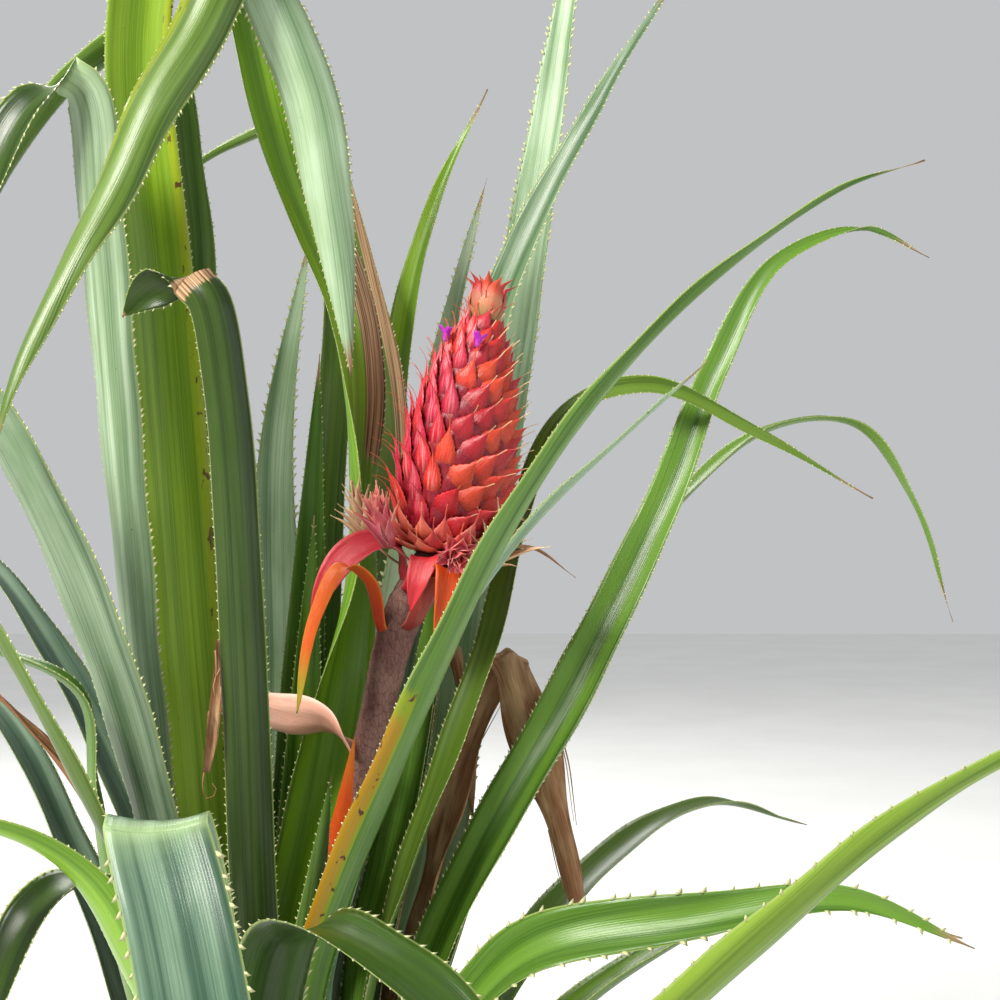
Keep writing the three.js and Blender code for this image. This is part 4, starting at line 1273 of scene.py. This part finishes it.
def make_tuft():
    base = FRUIT_HEIGHT - 2.0
    patches = [bud(UP * base, UP, radius=6.5, length=TUFT_HEIGHT + 3, low=0.1)]
    for n in range(URN_LEAFLETS):
        level = toward(math.radians(GOLDEN_ANGLE * n + 20))
        inner = n / URN_LEAFLETS
        high = URN_HEIGHT * (0.86 + 0.14 * inner)
        girth = URN_RADIUS * (1 - 0.35 * inner)
        points = [level * girth * r + UP * (base + high * h) for r, h in URN_PROFILE]
        patches.append(leaflet(
            points, URN_WIDTH, lance, np.cross(UP, level), serration=0.05, channel=0.24, crumple=0.2,
            spacing=1.2,
        ))
    patches += rosette(
        UP * (base + 1.0), UP, count=12, length=17, width=5.0, opening=62, lift=2.0, reach=8.0,
        crumple=0.3, shape=awned,
    )
    make_head_piece("tuft_leaflets", patches, "tuft", ["crown_tuft"])


def make_flowers():
    patches = []
    for z, degrees in FLOWERS:
        at, side, up, out = surface_frame(z, math.radians(degrees))
        for petal in range(3):
            turn = math.radians(120 * petal)
            lean = side * math.cos(turn) + out * math.sin(turn)
            root = at + out * 5 + up * 4 + lean * 1.0
            ahead = unit(up + out * 0.45 + lean * 0.3)
            points = [root, root + ahead * 5, root + ahead * 8.5 + lean * 1.8]
            patches.append(blade(
                points, 4.6, lambda v: 0.6 + 0.5 * np.sin(np.pi * v * 0.9), side=np.cross(ahead, lean),
                thickness=0.6, spacing=0.9, columns=4, channel=0.3,
            ).skin)
    make_head_piece("flower_petals", patches, "petal", [])


# Stem: a short trunk of old leaf scars

STEM_SCARS = ((8, 0.23), (5, 0.17))
DEEPEST_SCAR = 2.5


def make_stem():
    rows, columns = 110, 72
    z, turn = np.linspace(0, STEM_HEIGHT, rows), turns(columns)
    scars = scar_pattern(turn, z[:, None], STEM_SCARS)
    grain = chance.standard_normal((rows, columns)) * 0.25
    relief = np.clip(-1.4 * scars ** 2 + grain - 0.3, -DEEPEST_SCAR, 0)
    radius = along_profile(STEM_PROFILE, z)[:, None] + relief * smoothstep(z, 0, 6)[:, None]
    skin = tube(round_body(radius, turn, z, STEM_LEAN), along=z[:, None])
    bark = scaly_material(
        "stem_bark", ground=(0.12, 0.075, 0.04), flakes=(0.28, 0.2, 0.11), dark=(0.03, 0.018, 0.01),
        scale=160, stretch=1.4,
    )
    make_piece("stem_bark", [skin], bark, ["stem"])


make_stem()
make_scape()
leaves = make_leaves()
make_torn_strip(leaves[STRIP_LEAF])
make_bracts()
make_slips()
places = fruit_places(LOOK_CELL)
make_fruit_core(places)
make_fruit_bracts(places)
make_fruit_skirt()
make_front_rosette()
make_tuft()
make_flowers()


# Floor, light and camera

FLOOR_HALF = 6.0
MIDDLE = (0.08, 0, 0.55)


def make_floor():
    mesh = bpy.data.meshes.new("floor")
    corners = [(x * FLOOR_HALF, y * FLOOR_HALF, 0) for x, y in ((-1, -1), (1, -1), (1, 1), (-1, 1))]
    mesh.from_pydata(corners, [], [(0, 1, 2, 3)])
    m = Surface("floor_paint")
    grain = m.noise(m.add("TexCoord", "Object", {}), scale=4.0)
    paint = m.mix(m.fit(grain, 0.3, 0.7), (0.84, 0.84, 0.82), (0.88, 0.88, 0.86))
    mesh.materials.append(m.finish(paint, 0.9))
    place_object("floor", mesh)


def make_light(name, place, aim, size, watts, colour):
    light = bpy.data.lights.new(name, "AREA")
    light.shape = "SQUARE"
    light.size = size
    light.energy = watts
    light.color = colour
    lamp = place_object(name, light)
    lamp.location = place
    lamp.rotation_euler = (Vector(aim) - Vector(place)).to_track_quat("-Z", "Y").to_euler()


def make_world():
    world = bpy.data.worlds.new("studio")
    world.use_nodes = True
    sky = world.node_tree.nodes["Background"].inputs
    sky["Color"].default_value = (0.88, 0.9, 0.92, 1)
    sky["Strength"].default_value = 0.6
    bpy.context.scene.world = world


def make_camera():
    camera = bpy.data.cameras.new("camera")
    camera.lens = CAMERA_LENS
    camera.sensor_width = CAMERA_SENSOR
    holder = place_object("camera", camera)
    holder.location = CAMERA_PLACE
    holder.rotation_euler = (math.radians(90), 0, 0)
    bpy.context.scene.camera = holder


make_floor()
make_world()
make_light("key", (-1.3, -1.4, 2.3), MIDDLE, 0.7, 112, (1.0, 0.97, 0.91))
make_light("fill", (2.2, -1.8, 1.2), MIDDLE, 2.0, 18, (0.92, 0.96, 1.0))
make_light("rim", (-0.6, 2.2, 2.2), MIDDLE, 1.4, 45, (1.0, 1.0, 0.95))
make_camera()
bpy.context.scene.view_settings.view_transform = "Standard"
